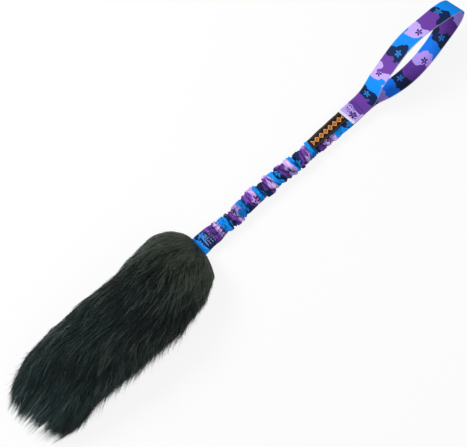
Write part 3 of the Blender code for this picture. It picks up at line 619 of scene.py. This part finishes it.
# Woven label on the left side of the sleeve's top
label = {
    "width": 0.0150, "length": 0.0572, "thickness": 0.0006, "side": 0.0038, "endShare": 0.88,
    "underHem": 0.0012, "lift": 0.0004, "hemLift": 0.0002,
    "wave": (0.00035, 190, 0.8),  # depth, and its rate along and across
    "rows": 70, "columns": 22,
    "ground": hexColour("0F0704"), "worn": hexColour("1E1009"), "thread": hexColour("FFA552"),
    # a row of diamonds with a dot in each, in centimetres of label
    "diamondLong": 0.74, "diamondHalf": 0.40, "diamondHole": 0.52, "dot": 0.24,
    "rowMiddle": 2.86, "rowHalf": 2.55, "edge": 0.03,
    "border": hexColour("5E504C"), "rim": (0.56, 0.62), "rimEdge": 0.012, "rimShows": 0.8,
    "weave": (26.0, 34.0),
}


def topHeight(x, y):
    # Height of the sleeve's upper side over its middle
    w, h, _, box = sleeveShape(x)
    share = np.clip(np.abs(y - driftAt(x)) / w, 0, 0.995)
    return h * (1 - share ** box) ** (1 / box)


def labelLook():
    s = label
    look = Look("wovenLabel")
    spot, along, across = clothSpot(look)
    aside = across.math("ABSOLUTE")
    cell = (along * (1 / s["diamondLong"])).math("FRACT") - 0.5
    far = cell.math("ABSOLUTE") * 2.0 + aside * (1 / s["diamondHalf"])
    ring = (1.0 - far).above(0.0, s["edge"]) * far.above(s["diamondHole"], s["edge"])
    dot = (s["dot"] - far).above(0.0, s["edge"])
    inside = (s["rowHalf"] - (along - s["rowMiddle"]).math("ABSOLUTE")).above(0.0, 0.02)
    motif = (ring + dot).math("MINIMUM", 1.0) * inside
    inner, outer = s["rim"]
    rim = aside.above(inner, s["rimEdge"]) * (1.0 - aside.above(outer, s["rimEdge"]))
    worn = look.noise(spot, 6.0, 3.0, 0.6, dimensions="2D")
    ground = look.blend(worn, s["ground"], s["worn"])
    colour = look.blend(rim * s["rimShows"], ground, s["border"])
    colour = look.blend(motif * worn.spread(0.75, 1.0), colour, s["thread"])
    weave = weaveRelief(along, across, *s["weave"])
    return look.finish(bump=weave + motif * 0.8, lift=0.00015, strength=0.5, Base_Color=colour,
                       Roughness=0.66 - motif * 0.14, Specular_IOR_Level=0.15)


def labelGrid():
    s = label
    endX = foldAt.x - mouthX + strap["hemFromFold"] + s["underHem"]
    x = np.linspace(endX - s["length"], endX, s["rows"])[:, None]
    t = (x - x[0]) / s["length"]
    a = np.linspace(-1, 1, s["columns"])[None, :]
    narrow = lerp(s["endShare"], 1.0, smoothStep(0, 0.6, t))
    y = s["side"] * narrow + a * narrow * s["width"] / 2
    depth, rate, acrossRate = s["wave"]
    wave = depth * np.sin(x * rate + a * acrossRate) * (1 - smoothStep(0.75, 1.0, t))
    z = topHeight(x, y) + s["lift"] + wave
    # Its end lies under the strap's hem
    z = np.minimum(z, lerp(9.0, strap["clothHalf"] + s["hemLift"], smoothStep(0.90, 0.97, t)))
    grid = together(mouthX + x, middleY + y, axisZ + z)
    return grid, together((x - x[0]) * 100, a * s["width"] / 2 * 100)


def buildLabel():
    grid, uv = labelGrid()
    made = clothMesh("wovenLabel", grid, uv, labelLook())
    addThickness(made, label["thickness"])
    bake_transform(made)
    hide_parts("woven_label")


buildLabel()
print("label made")


# Stitches: short threads that lie on the cloth, dipped at both ends
thread = {
    "width": 0.00055, "heavy": 0.00080, "stitch": 0.0026, "gap": 0.0009, "sides": 6, "flatness": 0.7,
    # places along a stitch, and its width there
    "shares": ((0.0, 0.25), (0.12, 0.8), (0.35, 1.0), (0.65, 1.0), (0.88, 0.8), (1.0, 0.25)),
    "tabZigzag": (0.0105, 0.0200, 0.0078, 5),  # start, end, half width and turns
    "tabRows": (0.0065, 0.0215), "tabHalf": 0.0085, "tabLift": 0.0002,
    "throatRows": (0.0075, 0.0215), "throatHalf": 0.0090, "throatTurns": 6,  # rows from the strap's hem
    "labelInset": 0.0012, "labelStart": 0.0024, "labelEnd": 0.2375, "labelCorner": 0.0004,
    "labelLift": 0.0011,
    "pale": hexColour("BFC0F2"), "violet": hexColour("50308A"), "dark": hexColour("2A2226"),
}


def threadLook(name, colour):
    look = Look(name)
    spot = look.spot()
    grain = look.noise(spot, 900.0, 2.0, 0.5)
    shade = look.blend(grain.spread(0.0, 0.35), colour, (0.0, 0.0, 0.0, 1.0))
    return look.finish(bump=grain, lift=0.0001, strength=0.4, Base_Color=shade, Roughness=grain * 0.2 + 0.4)


def stitches(name, lines, colour, body, heightAt, side=1.0, width=None):
    # Stitches along lines of (x, y) places from the fur's mouth, laid on a side of the cloth
    t = thread
    width = width or t["width"]
    turns = np.arange(t["sides"]) / t["sides"] * math.tau
    shares = np.array(t["shares"])
    rings = []
    for line in lines:
        line = np.array(line)
        steps = np.linalg.norm(np.diff(line, axis=0), axis=1)
        reach = np.concatenate([[0.0], np.cumsum(steps)])
        starts = np.arange(0, reach[-1] - t["stitch"] * 0.6, t["stitch"] + t["gap"])
        at = starts[:, None] + np.minimum(t["stitch"], reach[-1] - starts)[:, None] * shares[None, :, 0]
        x, y = np.interp(at, reach, line[:, 0]), np.interp(at, reach, line[:, 1])
        z = side * (heightAt(x, y) + width / 2 * (shares[:, 1] * 1.6 - 0.9))
        middle = together(mouthX + x, middleY + y, axisZ + z)
        along = unit(middle[:, -1:] - middle[:, :1])
        across = np.cross(along, [0.0, 0.0, 1.0])
        up = np.cross(across, along)
        around = (across[:, :, None] * np.cos(turns)[None, None, :, None]
                  + up[:, :, None] * np.sin(turns)[None, None, :, None] * t["flatness"])
        rings.append(middle[:, :, None] + around * (shares[:, 1] * width / 2)[None, :, None, None])
    rings = np.concatenate(rings)
    made = meshObject(name, rings, tubeQuads(*rings.shape[:3]), {}, threadLook(name + "Thread", colour))
    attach(made, body)
    return made


def zigzag(startX, endX, halfWidth, turns):
    # Runs that cross the cloth and come back
    x = np.linspace(startX, endX, turns + 1)
    y = np.where(np.arange(turns + 1) % 2 == 0, -halfWidth, halfWidth)
    return together(x, y)


def buildStitches():
    t = thread
    near, far = t["tabRows"]
    half = t["tabHalf"]
    rows = [zigzag(*t["tabZigzag"]), [(near, -half), (near, half)], [(far, half), (far, -half)]]
    tab = stitches("tabStitches", rows, t["pale"], "sleeve_foot",
                   lambda x, y: topHeight(x, y) + t["tabLift"])
    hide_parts("tab_stitching")

    strapTop = strap["clothHalf"] + strap["layerGap"] + strap["thickness"]
    hemX = foldAt.x - mouthX + strap["hemFromFold"]
    near, far = [hemX + row for row in t["throatRows"]]
    half = t["throatHalf"]
    around = [(near, -half), (far, -half), (far, half), (near, half), (near, -half)]
    rows = [zigzag(near, far, half, t["throatTurns"]), around]
    for name, side, node in (("throatStitchesFront", 1.0, "throat_stitch_front"),
                             ("throatStitchesBack", -1.0, "throat_stitch_back")):
        made = stitches(name, rows, t["violet"], "handle",
                        lambda x, y: np.full_like(x, strapTop), side, t["heavy"])
        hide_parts(node)

    rim = label["width"] / 2 - t["labelInset"]
    startX, endX = hemX - label["length"] + t["labelStart"], t["labelEnd"]
    left, right = label["side"] + rim, label["side"] - rim
    startRight, startLeft = right * label["endShare"] - t["labelCorner"], left * label["endShare"]
    row = [(endX, right), (startX, startRight), (startX, startLeft), (endX, left)]
    border = stitches("labelStitches", [row], t["dark"], "sleeve_head",
                      lambda x, y: topHeight(x, y) + t["labelLift"])
    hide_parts("label_stitching")


buildStitches()
print("stitches made")


# Fur end: a dark soft body, and long combed hair in clumps that lie over it
fur = {
    # share of the way back, then shares of the pile's width to the left and right, and of its height
    # to its top and its underside
    "outline": ((0.000, 0.140, 0.142, 0.22, 0.05), (0.005, 0.185, 0.190, 0.27, 0.04),
                (0.022, 0.260, 0.306, 0.43, 0.022), (0.050, 0.340, 0.376, 0.59, 0.008),
                (0.082, 0.380, 0.422, 0.71, 0.0), (0.122, 0.405, 0.478, 0.83, 0.0),
                (0.165, 0.403, 0.500, 0.91, 0.0), (0.215, 0.396, 0.520, 0.96, 0.0),
                (0.305, 0.375, 0.557, 1.0, 0.0), (0.400, 0.369, 0.546, 1.0, 0.0),
                (0.490, 0.378, 0.549, 0.99, 0.0), (0.600, 0.376, 0.543, 0.96, 0.0),
                (0.690, 0.367, 0.531, 0.89, 0.0), (0.760, 0.340, 0.549, 0.8, 0.0),
                (0.810, 0.311, 0.576, 0.7, 0.0), (0.855, 0.262, 0.582, 0.58, 0.0),
                (0.900, 0.220, 0.575, 0.44, 0.02), (0.940, 0.165, 0.555, 0.32, 0.04),
                (0.975, 0.110, 0.540, 0.23, 0.06), (1.000, 0.060, 0.530, 0.17, 0.08)),
    "width": 0.118, "waist": 0.36, "roundness": 0.86, "flatUnder": 1.5,
    # the soft body under the hair
    "around": 72, "bodyShare": 0.83, "bodyEnds": (0.30, 0.05), "bodyThins": (0.70, 0.86, 0.35),
    "bodyClear": 0.0006, "dark": (0.002, 0.004, 0.004, 1.0), "pale": (0.009, 0.014, 0.013, 1.0),
}
furLow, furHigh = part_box("fur_pile")
furLength, furHeight = furHigh.x - furLow.x, furHigh.z - furLow.z


def furPoint(u, turn, r):
    # A point of the pile: share of the way back, turn from the left over the top, share of the way out
    f = fur
    u = np.clip(u, 0, 1)
    left, right, top, low = [curveThrough(f["outline"], u, k) for k in (1, 2, 3, 4)]
    middle, half = (left - right) / 2 * f["width"], (left + right) / 2 * f["width"]
    top, low = top * furHeight, low * furHeight
    widest = lerp(low, top, f["waist"])
    c, q = np.cos(turn), np.sin(turn)
    out = np.sign(c) * np.abs(c) ** f["roundness"]
    up = np.abs(q) ** f["roundness"]
    z = np.where(q > 0, lerp(widest, top, up), lerp(widest, low, np.minimum(1.0, up * f["flatUnder"])))
    y = middle + half * out * r
    z = widest + (z - widest) * r
    return together(mouthX - u * furLength, middleY + y, z), half


def fieldWave(u, turn, seed):
    # A smooth uneven field over the pile, about -1 to 1
    own = np.random.default_rng(seed)
    total = 0.0
    for _ in range(5):
        a, b = own.uniform(3, 14), own.integers(1, 5)
        total = total + np.sin(a * u * math.tau / 3 + b * turn + own.uniform(0, math.tau))
    return total / 2.4


# Hair: shares of the way back are u, and turns go from the left side over the top, in radians
hairs = {
    "clumps": 12400, "perClump": 5, "rings": 6, "pieces": 10, "width": 0.00050, "fineWidth": 0.80,
    # where clumps are rooted, with a share of them at the neck and another at the tail
    "roots": (-0.004, 0.83), "neckRoots": (-0.004, 0.08), "neckPick": 0.11,
    "tailRoots": (0.68, 0.86), "tailPick": 0.86, "upperShare": 0.76, "upperTurns": (-0.12, math.pi + 0.10),
    "neck": (0.06, 0.26), "tail": (0.60, 0.84),  # where the neck's ways fade out, and the tail's fade in
    "length": 0.036, "lengthSpread": 0.011, "lengthShare": (0.78, 1.10),
    "neckLength": 0.40, "neckLengthTo": 0.20, "tailLength": 1.55,
    # lean to the right, in degrees: everywhere, growing to the right, and at the right edge
    "lean": (3.0, 10.0, 12.0), "leanWave": 0.14, "leanBelow": 0.3, "leanFrom": (-0.02, 0.14),
    "tailLean": 0.75, "fan": 0.55, "crinkle": 0.34,
    # a parting in the left of the back half: its turn and width, where it starts and ends, how deep it lies
    # and the painted shade in its groove
    "parting": (1.10, 0.13), "partingFrom": (0.42, 0.55), "partingTo": (0.74, 0.86),
    "partingDepth": 0.09, "partingShade": 0.22,
    # how far out roots and tips lie, as shares of the way to the pile's surface
    "rootDepth": (0.60, 0.82), "rise": (0.88, 1.0), "riseWave": 0.02, "riseSpread": 0.012,
    "strayShare": 0.03, "strayRise": (0.01, 0.05),
    # how the hairs of a clump spread at their roots, draw together and wave
    "rootSpread": (0.013, 0.015), "gather": (0.35, 0.85), "backGather": (0.3, 0.7, 0.7), "neckLoose": 0.45,
    "wave": (0.001, 0.007), "waveRate": (3.0, 6.0), "neckWave": (3.0, 0.5),
    # tone of a clump and of its hairs, from 0 for the darkest to 1
    "tone": 0.36, "toneWave": 0.14, "toneSpread": (0.22, 0.36), "neckToneSpread": 0.12,
    "neckPale": 0.76, "neckPaleTo": 0.22, "neckDark": (0.26, 0.42, 0.15),
    "rightDark": 0.18, "rightTurns": (2.1, 2.8, 3.7), "hairToneSpread": (0.20, 0.9), "loosePale": 0.22,
    # how far back the longest hair reaches, from the left side to the right, and its pointed locks
    "reach": ((0.0, 0.900), (0.16, 0.962), (0.45, 0.99), (0.72, 0.955), (0.9, 0.926), (1.0, 0.88)),
    "reachLeft": 0.0289, "reachRight": -0.0708,
    "locks": 30, "lockSharp": 1.6, "lockGap": (0.064, 0.044), "lockGather": 0.48,
    "ragged": 0.022, "sparseShare": 0.22, "sparseReach": 0.07,
    # the right side, where the hair stands off and frays
    "standFrom": 2.85, "standShare": 0.62, "standOut": 0.10,
    "frayTurns": (1.9, 3.6), "frayFrom": (0.04, 0.25), "looseShare": 0.25, "loose": (0.001, 0.012),
    "tuft": (-0.004, 0.0010), "longTuftShare": 0.20, "longTuft": (0.002, 0.009), "flareLimit": 0.0125,
    # the left side of the tail, where wisps stand out
    "wispTurns": (0.9, 5.7), "wispFrom": (0.64, 0.82), "wispShare": 0.20, "wispOut": (0.0065, 0.0018),
    "floorClear": (0.0004, 0.0002),  # of a hair's middle, and of its surface
    "tones": ((0.0, (0.0008, 0.0034, 0.0034, 1.0)), (0.42, (0.0046, 0.0178, 0.0178, 1.0)),
              (0.70, (0.031, 0.059, 0.055, 1.0)), (1.0, (0.185, 0.210, 0.180, 1.0))),
    "olive": (0.97, 1.0, 0.84, 1.0), "teal": (0.86, 1.17, 1.28, 1.0),
    # colour of the painted shade at the hairs' roots
    "rootShadeColour": (0.002, 0.003, 0.003, 1.0),
}
lockCentres = np.sort(dice.uniform(0.0, 1.0, hairs["locks"]) * 0.5 + np.linspace(0, 1, hairs["locks"]) * 0.5)


def clumpTone(u, turn, side, neck, parting):
    h = hairs
    spread = lerp(*h["toneSpread"], u) + h["neckToneSpread"] * neck
    tone = h["tone"] + h["toneWave"] * fieldWave(u, turn, 31) + dice.normal(0, 1, len(u)) * spread
    # paler at the neck, and painted shade in the parting's groove
    tone = tone + h["neckPale"] * (1 - smoothStep(0.0, h["neckPaleTo"], u)) - h["partingShade"] * parting
    first, full, last = h["rightTurns"]
    tone = tone - h["rightDark"] * smoothStep(first, full, turn) * (turn < last) * (1 - 0.7 * neck)
    dark, place, width = h["neckDark"]
    return tone - dark * neck * np.exp(-((side - place) / width) ** 2) * smoothStep(0.01, 0.10, u)


def clumpFacts():
    # For each clump: where it is rooted, how long it is, how it lies and its tone
    h = hairs
    n = h["clumps"]
    u = dice.uniform(*h["roots"], n)
    pick = dice.uniform(0, 1, n)
    u = np.where(pick < h["neckPick"], dice.uniform(*h["neckRoots"], n), u)
    u = np.where(pick > h["tailPick"], dice.uniform(*h["tailRoots"], n), u)
    upper = dice.uniform(0, 1, n) < h["upperShare"]
    turn = np.where(upper, dice.uniform(*h["upperTurns"], n), dice.uniform(math.pi, math.tau, n))
    side = np.clip(turn / math.pi, 0, 1)
    neck = 1 - smoothStep(*h["neck"], u)
    tail = smoothStep(*h["tail"], u)
    length = h["length"] + dice.uniform(-h["lengthSpread"], h["lengthSpread"], n)
    length = length * lerp(h["neckLength"], 1.0, smoothStep(0.0, h["neckLengthTo"], u))
    length = length * lerp(1.0, h["tailLength"], tail)
    least, more, most = h["lean"]
    lean = np.radians((least + more * side + most * side ** 3) * (1 - h["tailLean"] * tail))
    lean = lean + h["leanWave"] * fieldWave(u, turn, 5)
    lean = lean * np.where(turn > math.pi, h["leanBelow"], 1.0) * smoothStep(*h["leanFrom"], u)
    # At the neck the hair fans out and is crinkled
    fan = h["fan"] * (side - 0.5) * 2 * (turn < math.pi)
    lean = lean + neck * (fan + h["crinkle"] * fieldWave(u * 5, turn * 3, 12))
    middle, width = h["parting"]
    parting = np.exp(-((turn - middle) / width) ** 2) * smoothStep(*h["partingFrom"], u)
    parting = parting * (1 - smoothStep(*h["partingTo"], u))
    rise = dice.uniform(*h["rise"], n) + h["riseWave"] * fieldWave(u, turn, 9) - h["partingDepth"] * parting
    first, last, share = h["backGather"]
    gather = dice.uniform(*h["gather"], n) * lerp(1.0, share, smoothStep(first, last, u))
    gather = gather * (1 - h["neckLoose"] * neck)
    return u, turn, length, lean, rise, gather, clumpTone(u, turn, side, neck, parting), tail, neck


def lockedPlaces(u, turn, r, t):
    # Points of the hairs, of which the last ones back end in pointed locks
    h = hairs
    one = (len(u), 1)
    points, _ = furPoint(u, turn, r)
    leftY, rightY = middleY + h["reachLeft"], middleY + h["reachRight"]
    tip = np.clip((leftY - points[:, -1:, 1]) / (leftY - rightY), 0, 1)
    lock = lockCentres[np.argmin(np.abs(tip - lockCentres[None, :]), axis=1)][:, None]
    aside = np.minimum(np.abs(tip - lock) * h["locks"] * h["lockSharp"], 1.0)
    gap = lerp(*h["lockGap"], smoothStep(0.15, 0.50, lock))
    limit = curveThrough(h["reach"], lock) - gap * aside * dice.uniform(0.4, 1.2, one)
    limit = limit - np.abs(dice.normal(0, h["ragged"], one)) * (1.0 + 1.3 * (2 * np.abs(lock - 0.45)) ** 2)
    sparse = dice.uniform(0, 1, one) < h["sparseShare"]
    limit = np.minimum(limit + sparse * dice.uniform(0.0, h["sparseReach"], one), 1.0)
    last = np.minimum(u[:, -1:], limit)
    u = u[:, :1] + (u - u[:, :1]) * (last - u[:, :1]) / (u[:, -1:] - u[:, :1])
    points, _ = furPoint(u, turn, r)
    pull = h["lockGather"] * smoothStep(0.84, 0.99, u) * t ** 1.5
    points[..., 1] = lerp(points[..., 1], lerp(leftY, rightY, lock), pull)
    return points, sparse


def growHair():
    # Paths of all hairs (hair, ring, 3), with each hair's tone and share of the width
    h = hairs
    n, m = h["clumps"], h["perClump"]
    one = (n * m, 1)
    facts = [np.repeat(v, m)[:, None] for v in clumpFacts()]
    u0, turn0, length, lean, rise, gather, tone, tail, neck = facts
    length = length * dice.uniform(*h["lengthShare"], one)
    stray = dice.uniform(0, 1, one) < h["strayShare"]
    rootBack, rootTurn = [dice.normal(0, spread, one) for spread in h["rootSpread"]]
    strayRise = rise + dice.uniform(*h["strayRise"], one)
    rise = np.where(stray, strayRise, rise + dice.normal(0, h["riseSpread"], one))
    root = dice.uniform(*h["rootDepth"], one)
    t = np.linspace(0, 1, h["rings"])[None, :]
    keep = 1 - gather * t ** 1.3
    _, half = furPoint(u0, turn0, 1.0)
    u = u0 + rootBack * keep + length * np.cos(lean) / furLength * t
    swing = length * np.sin(lean) / (half * np.maximum(np.abs(np.sin(turn0)), 0.45))
    deeper, faster = h["neckWave"]
    depth = dice.uniform(*h["wave"], one) * (1 + deeper * neck)
    rate = dice.uniform(*h["waveRate"], one) * (1 + faster * neck)
    wave = depth * np.sin(rate * t + dice.uniform(0, math.tau, one)) * t
    turn = turn0 + rootTurn * keep + swing * t + wave
    r = root + (rise - root) * np.minimum(1.0, t * 1.6) ** 0.7

    # On the right the hair leaves the side instead of turning under it
    standOff = np.maximum(turn - h["standFrom"], 0) * (turn0 < 3.0)
    points, sparse = lockedPlaces(u, turn - standOff * h["standShare"], r, t)

    # Its tips fray there, and wisps stand out on the left of the tail
    first, last = h["frayTurns"]
    frayed = ((turn0 > first) & (turn0 < last)) * smoothStep(*h["frayFrom"], u0) * (1 - 0.7 * tail)
    loose = (dice.uniform(0, 1, one) < h["looseShare"]) * dice.uniform(*h["loose"], one)
    tuft = dice.uniform(*h["tuft"], n)
    tuft = tuft + (dice.uniform(0, 1, n) < h["longTuftShare"]) * dice.uniform(*h["longTuft"], n)
    flare = frayed * np.minimum(np.repeat(tuft, m)[:, None] + loose, h["flareLimit"]) * t ** 2
    points[..., 1] -= flare + standOff * h["standOut"] * (half * (1 - 0.9 * tail)) * t
    spread = np.where(dice.uniform(0, 1, one) < h["wispShare"], *h["wispOut"])
    over, under = h["wispTurns"]
    onLeft = ((turn0 < over) | (turn0 > under)) * smoothStep(*h["wispFrom"], u0)
    points[..., 1] += onLeft * np.abs(dice.normal(0, 1, one)) * spread * t ** 2
    points[..., 2] = np.maximum(points[..., 2], h["floorClear"][0])
    toneSpread, neckMore = h["hairToneSpread"]
    tone = tone + dice.normal(0, toneSpread, one) * (1 + neckMore * neck)
    tone = np.clip(tone + h["loosePale"] * (loose > 0) * frayed, 0.02, 0.98)
    fine = np.where((loose > 0) & (frayed > 0) | sparse | (u0 < 0.12), h["fineWidth"], 1.0)
    order = np.argsort(u0[:, 0])
    return points[order], tone[order, 0], fine[order, 0]


def hairMesh(name, paths, tone, fine, material):
    # Three sided hairs that thin out to their tips
    count, rings = paths.shape[:2]
    along = unit(np.gradient(paths, axis=1))
    side = unit(np.cross(along, [0.0, 0.0, 1.0]), 1e-6)
    up = np.cross(side, along)
    t = np.linspace(0, 1, rings)
    width = hairs["width"] / 2 * np.clip(1.15 - t ** 1.6 * 1.06, 0.06, 1.0)
    turns = np.array([math.pi / 2, math.pi * 7 / 6, math.pi * 11 / 6])
    w = (width[None, :] * fine[:, None])[:, :, None, None]
    ring = (paths[:, :, None] + side[:, :, None] * w * np.cos(turns)[None, None, :, None]
            + up[:, :, None] * w * np.sin(turns)[None, None, :, None])
    ring[..., 2] = np.maximum(ring[..., 2], hairs["floorClear"][1])
    # The tone goes across the map, and the way from root to tip goes up it
    uv = np.zeros((count, rings - 1, 3, 4, 2))
    middle = tone[:, None, None]
    uv[..., 0, 0] = uv[..., 3, 0] = middle + (np.arange(3) - 1.5) * 0.004
    uv[..., 1, 0] = uv[..., 2, 0] = middle + (np.arange(3) - 0.5) * 0.004
    uv[..., 0, 1] = uv[..., 1, 1] = t[:-1][None, :, None]
    uv[..., 2, 1] = uv[..., 3, 1] = t[1:][None, :, None]
    return meshObject(name, ring, tubeQuads(count, rings, 3), {"OFBake": uv}, material)


def hairLook():
    h = hairs
    look = Look("combedHair")
    parts = look.split(look.add("UVMap", {"uv_map": "OFBake"}))
    colour = look.add("ValToRGB", {"stops": h["tones"]}, {0: parts})
    spot = look.spot()
    back = (mouthX - look.split(spot)) / furLength
    tint = (back + look.noise(spot, 16.0, 1.0, 0.5) * 0.8).above(0.80, 0.32)
    colour = look.blend(1.0, colour, look.blend(tint, h["olive"], h["teal"]), "MULTIPLY")
    # painted shade on the lower part of each hair, where it lies under other hair
    rootShade = (1.0 - parts.other("Y").above(0.52, 0.36)) * 0.86
    colour = look.blend(rootShade, colour, h["rootShadeColour"])
    return look.finish(Base_Color=colour, Roughness=0.40, Specular_IOR_Level=0.30)


def bodyLook():
    look = Look("furBase")
    spot = look.spot()
    streak = look.noise(spot, 120.0, 2.0, 0.5, (0.12, 1.0, 1.0))
    colour = look.blend(streak, fur["dark"], fur["pale"])
    return look.finish(bump=streak, lift=0.001, strength=0.6, Base_Color=colour, Roughness=0.8)


def buildFur():
    f = fur
    rows = np.concatenate([[0.004], np.linspace(0.012, 0.10, 12), np.linspace(0.12, 0.84, 40), [0.87]])
    turn = np.arange(f["around"]) / f["around"] * math.tau
    first, last = f["bodyEnds"]
    shares = np.concatenate([[first], np.full(len(rows) - 2, f["bodyShare"]), [last]])
    thinFrom, thinTo, thinner = f["bodyThins"]
    shares = shares[:, None] * (1 - thinner * smoothStep(thinFrom, thinTo, rows))[:, None]
    grid, _ = furPoint(rows[:, None], turn[None, :], shares)
    grid[..., 2] = np.maximum(grid[..., 2], f["bodyClear"])
    uv = together(rows[:, None] * furLength * 100, np.linspace(0, 1, f["around"] + 1) * 25)
    base = clothMesh("furBase", grid, uv, bodyLook(), wrap=True)
    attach(base, "fur_end")
    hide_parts("fur_pile")
    paths, tone, fine = growHair()
    look = hairLook()
    for i, chosen in enumerate(np.array_split(np.arange(len(paths)), hairs["pieces"])):
        hair = hairMesh(f"furHair_{i + 1}", paths[chosen], tone[chosen], fine[chosen], look)
        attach(hair, "fur_end")


buildFur()
print("fur made")


# The parts that the fur and the sleeve hide keep their solids and get their own materials
def plainLook(name, dark, pale, scale, stretch, rough, relief):
    look = Look(name)
    spot = look.spot()
    grain = look.noise(spot, scale, 3.0, 0.6, stretch)
    patch = look.noise(spot, scale * 0.12, 2.0, 0.5)
    colour = look.blend(grain * 0.7 + patch * 0.3, hexColour(dark), hexColour(pale))
    return look.finish(bump=grain, lift=relief, strength=0.6, Base_Color=colour,
                       Roughness=(patch * 0.2 + rough), Specular_IOR_Level=0.3)


def braidLook(name, dark, pale):
    # Diagonal strands that cross round a cord
    look = Look(name)
    spot = look.spot()
    parts = look.split(spot)
    up, side = parts.other("Z") - axisZ, parts.other("Y") - middleY
    turn = up.math("ARCTAN2", side) * 8.0
    one = (turn + parts * 2600.0).math("SINE")
    two = (turn - parts * 2600.0).math("SINE")
    strands = one.math("MAXIMUM", two).spread(0.3, 1.0)
    fleck = look.noise(spot, 500.0, 2.0, 0.5)
    colour = look.blend(strands * 0.7 + fleck * 0.3, hexColour(dark), hexColour(pale))
    return look.finish(bump=strands, lift=0.0004, strength=0.7, Base_Color=colour,
                       Roughness=fleck * 0.2 + 0.55)


def dressInside():
    hide = plainLook("hideLeather", "6B5643", "94785C", 260.0, (1.0, 1.0, 1.0), 0.68, 0.0006)
    webbing = plainLook("coreWebbing", "0E0E11", "2C2C31", 900.0, (0.3, 1.0, 1.0), 0.66, 0.0004)
    darkThread = plainLook("darkThread", "15161F", "34364A", 1500.0, (1.0, 1.0, 1.0), 0.5, 0.0002)
    rubber = plainLook("cordRubber", "A2946F", "C6B98F", 700.0, (0.1, 1.0, 1.0), 0.5, 0.0003)
    braid = braidLook("cordBraid", "8E8E88", "E2E1DA")
    looks = {
        "hide_tube": hide, "core_strap": webbing, "side_seam": darkThread, "neck_stitching": darkThread,
        "tail_stitching": darkThread, "core_bar_tack": darkThread, "rubber_core": rubber,
        "cord_braid": braid, "cord_lower_end": braid, "cord_upper_end": braid,
    }
    for name, look in looks.items():
        for place in frame["nodes"][name].material_slots:
            place.material = look


dressInside()
print("hidden parts dressed")


# Stage: pale floor, soft studio light, camera over the toy as in the photograph
stage = {
    "white": (1.0, 1.0, 1.0, 1.0), "softLight": 0.45,
    "floorReach": 4.0, "floorColour": (0.95, 0.95, 0.95, 1.0), "floorGlow": 0.86,
    # name, place, size, power
    "lamps": (("keyLamp", (-0.55, 1.25, 1.05), 0.7, 22.0), ("fillLamp", (1.1, -0.7, 1.3), 1.2, 3.0)),
    "centre": Vector((-0.0122, 0.0060, 0.010)), "distance": 12.0, "farthest": 30.0,
    "frameWidth": 0.58375, "sensor": 36.0, "turn": math.radians(41.3),
}


def directRays(look):  # 1 for rays that see the stage itself, 0 for those that light the toy
    rays = look.add("LightPath")
    straight = rays.math("MAXIMUM", rays.other("Is Glossy Ray"))
    return straight.math("MAXIMUM", rays.other("Is Transmission Ray"))


def buildFloor():
    mesh = bpy.data.meshes.new("floor")
    reach = stage["floorReach"]
    corners = [(-reach, -reach, 0), (reach, -reach, 0), (reach, reach, 0), (-reach, reach, 0)]
    mesh.from_pydata(corners, [], [(0, 1, 2, 3)])
    look = Look("paleFloor")
    lit = look.add("BsdfDiffuse", {}, {"Color": stage["floorColour"]})
    glow = look.add("Emission", {}, {"Color": stage["white"], "Strength": 1.0})
    seen = directRays(look) * stage["floorGlow"]
    mesh.materials.append(look.close(look.add("MixShader", {}, {0: seen, 1: lit, 2: glow})))
    floor = addToScene(bpy.data.objects.new("floor", mesh))


def buildLights():
    world = bpy.data.worlds.new("studio")
    bpy.context.scene.world = world
    look = Look("studio", world)
    soft = look.add("Background", {}, {"Color": stage["white"], "Strength": stage["softLight"]})
    white = look.add("Background", {}, {"Color": stage["white"]})
    both = look.add("MixShader", {}, {0: directRays(look), 1: soft, 2: white})
    look.close(both, "OutputWorld")
    for name, spot, size, power in stage["lamps"]:
        light = bpy.data.lights.new(name, "AREA")
        light.shape, light.size, light.energy = "DISK", size, power
        lamp = addToScene(bpy.data.objects.new(name, light))
        lamp.location = spot
        lamp.rotation_euler = (-Vector(spot)).to_track_quat("-Z", "Y").to_euler()


def buildCamera():
    data = bpy.data.cameras.new("camera")
    data.sensor_width = stage["sensor"]
    data.lens = stage["sensor"] * stage["distance"] / stage["frameWidth"]
    data.clip_end = stage["farthest"]
    camera = addToScene(bpy.data.objects.new("camera", data))
    c, s = math.cos(stage["turn"]), math.sin(stage["turn"])
    spot = stage["centre"] + Vector((0, 0, stage["distance"]))
    camera.matrix_world = Matrix(((c, s, 0, spot.x), (-s, c, 0, spot.y), (0, 0, 1, spot.z), (0, 0, 0, 1)))
    bpy.context.scene.camera = camera


buildFloor()
buildLights()
buildCamera()
bpy.context.scene.view_settings.view_transform = "Standard"
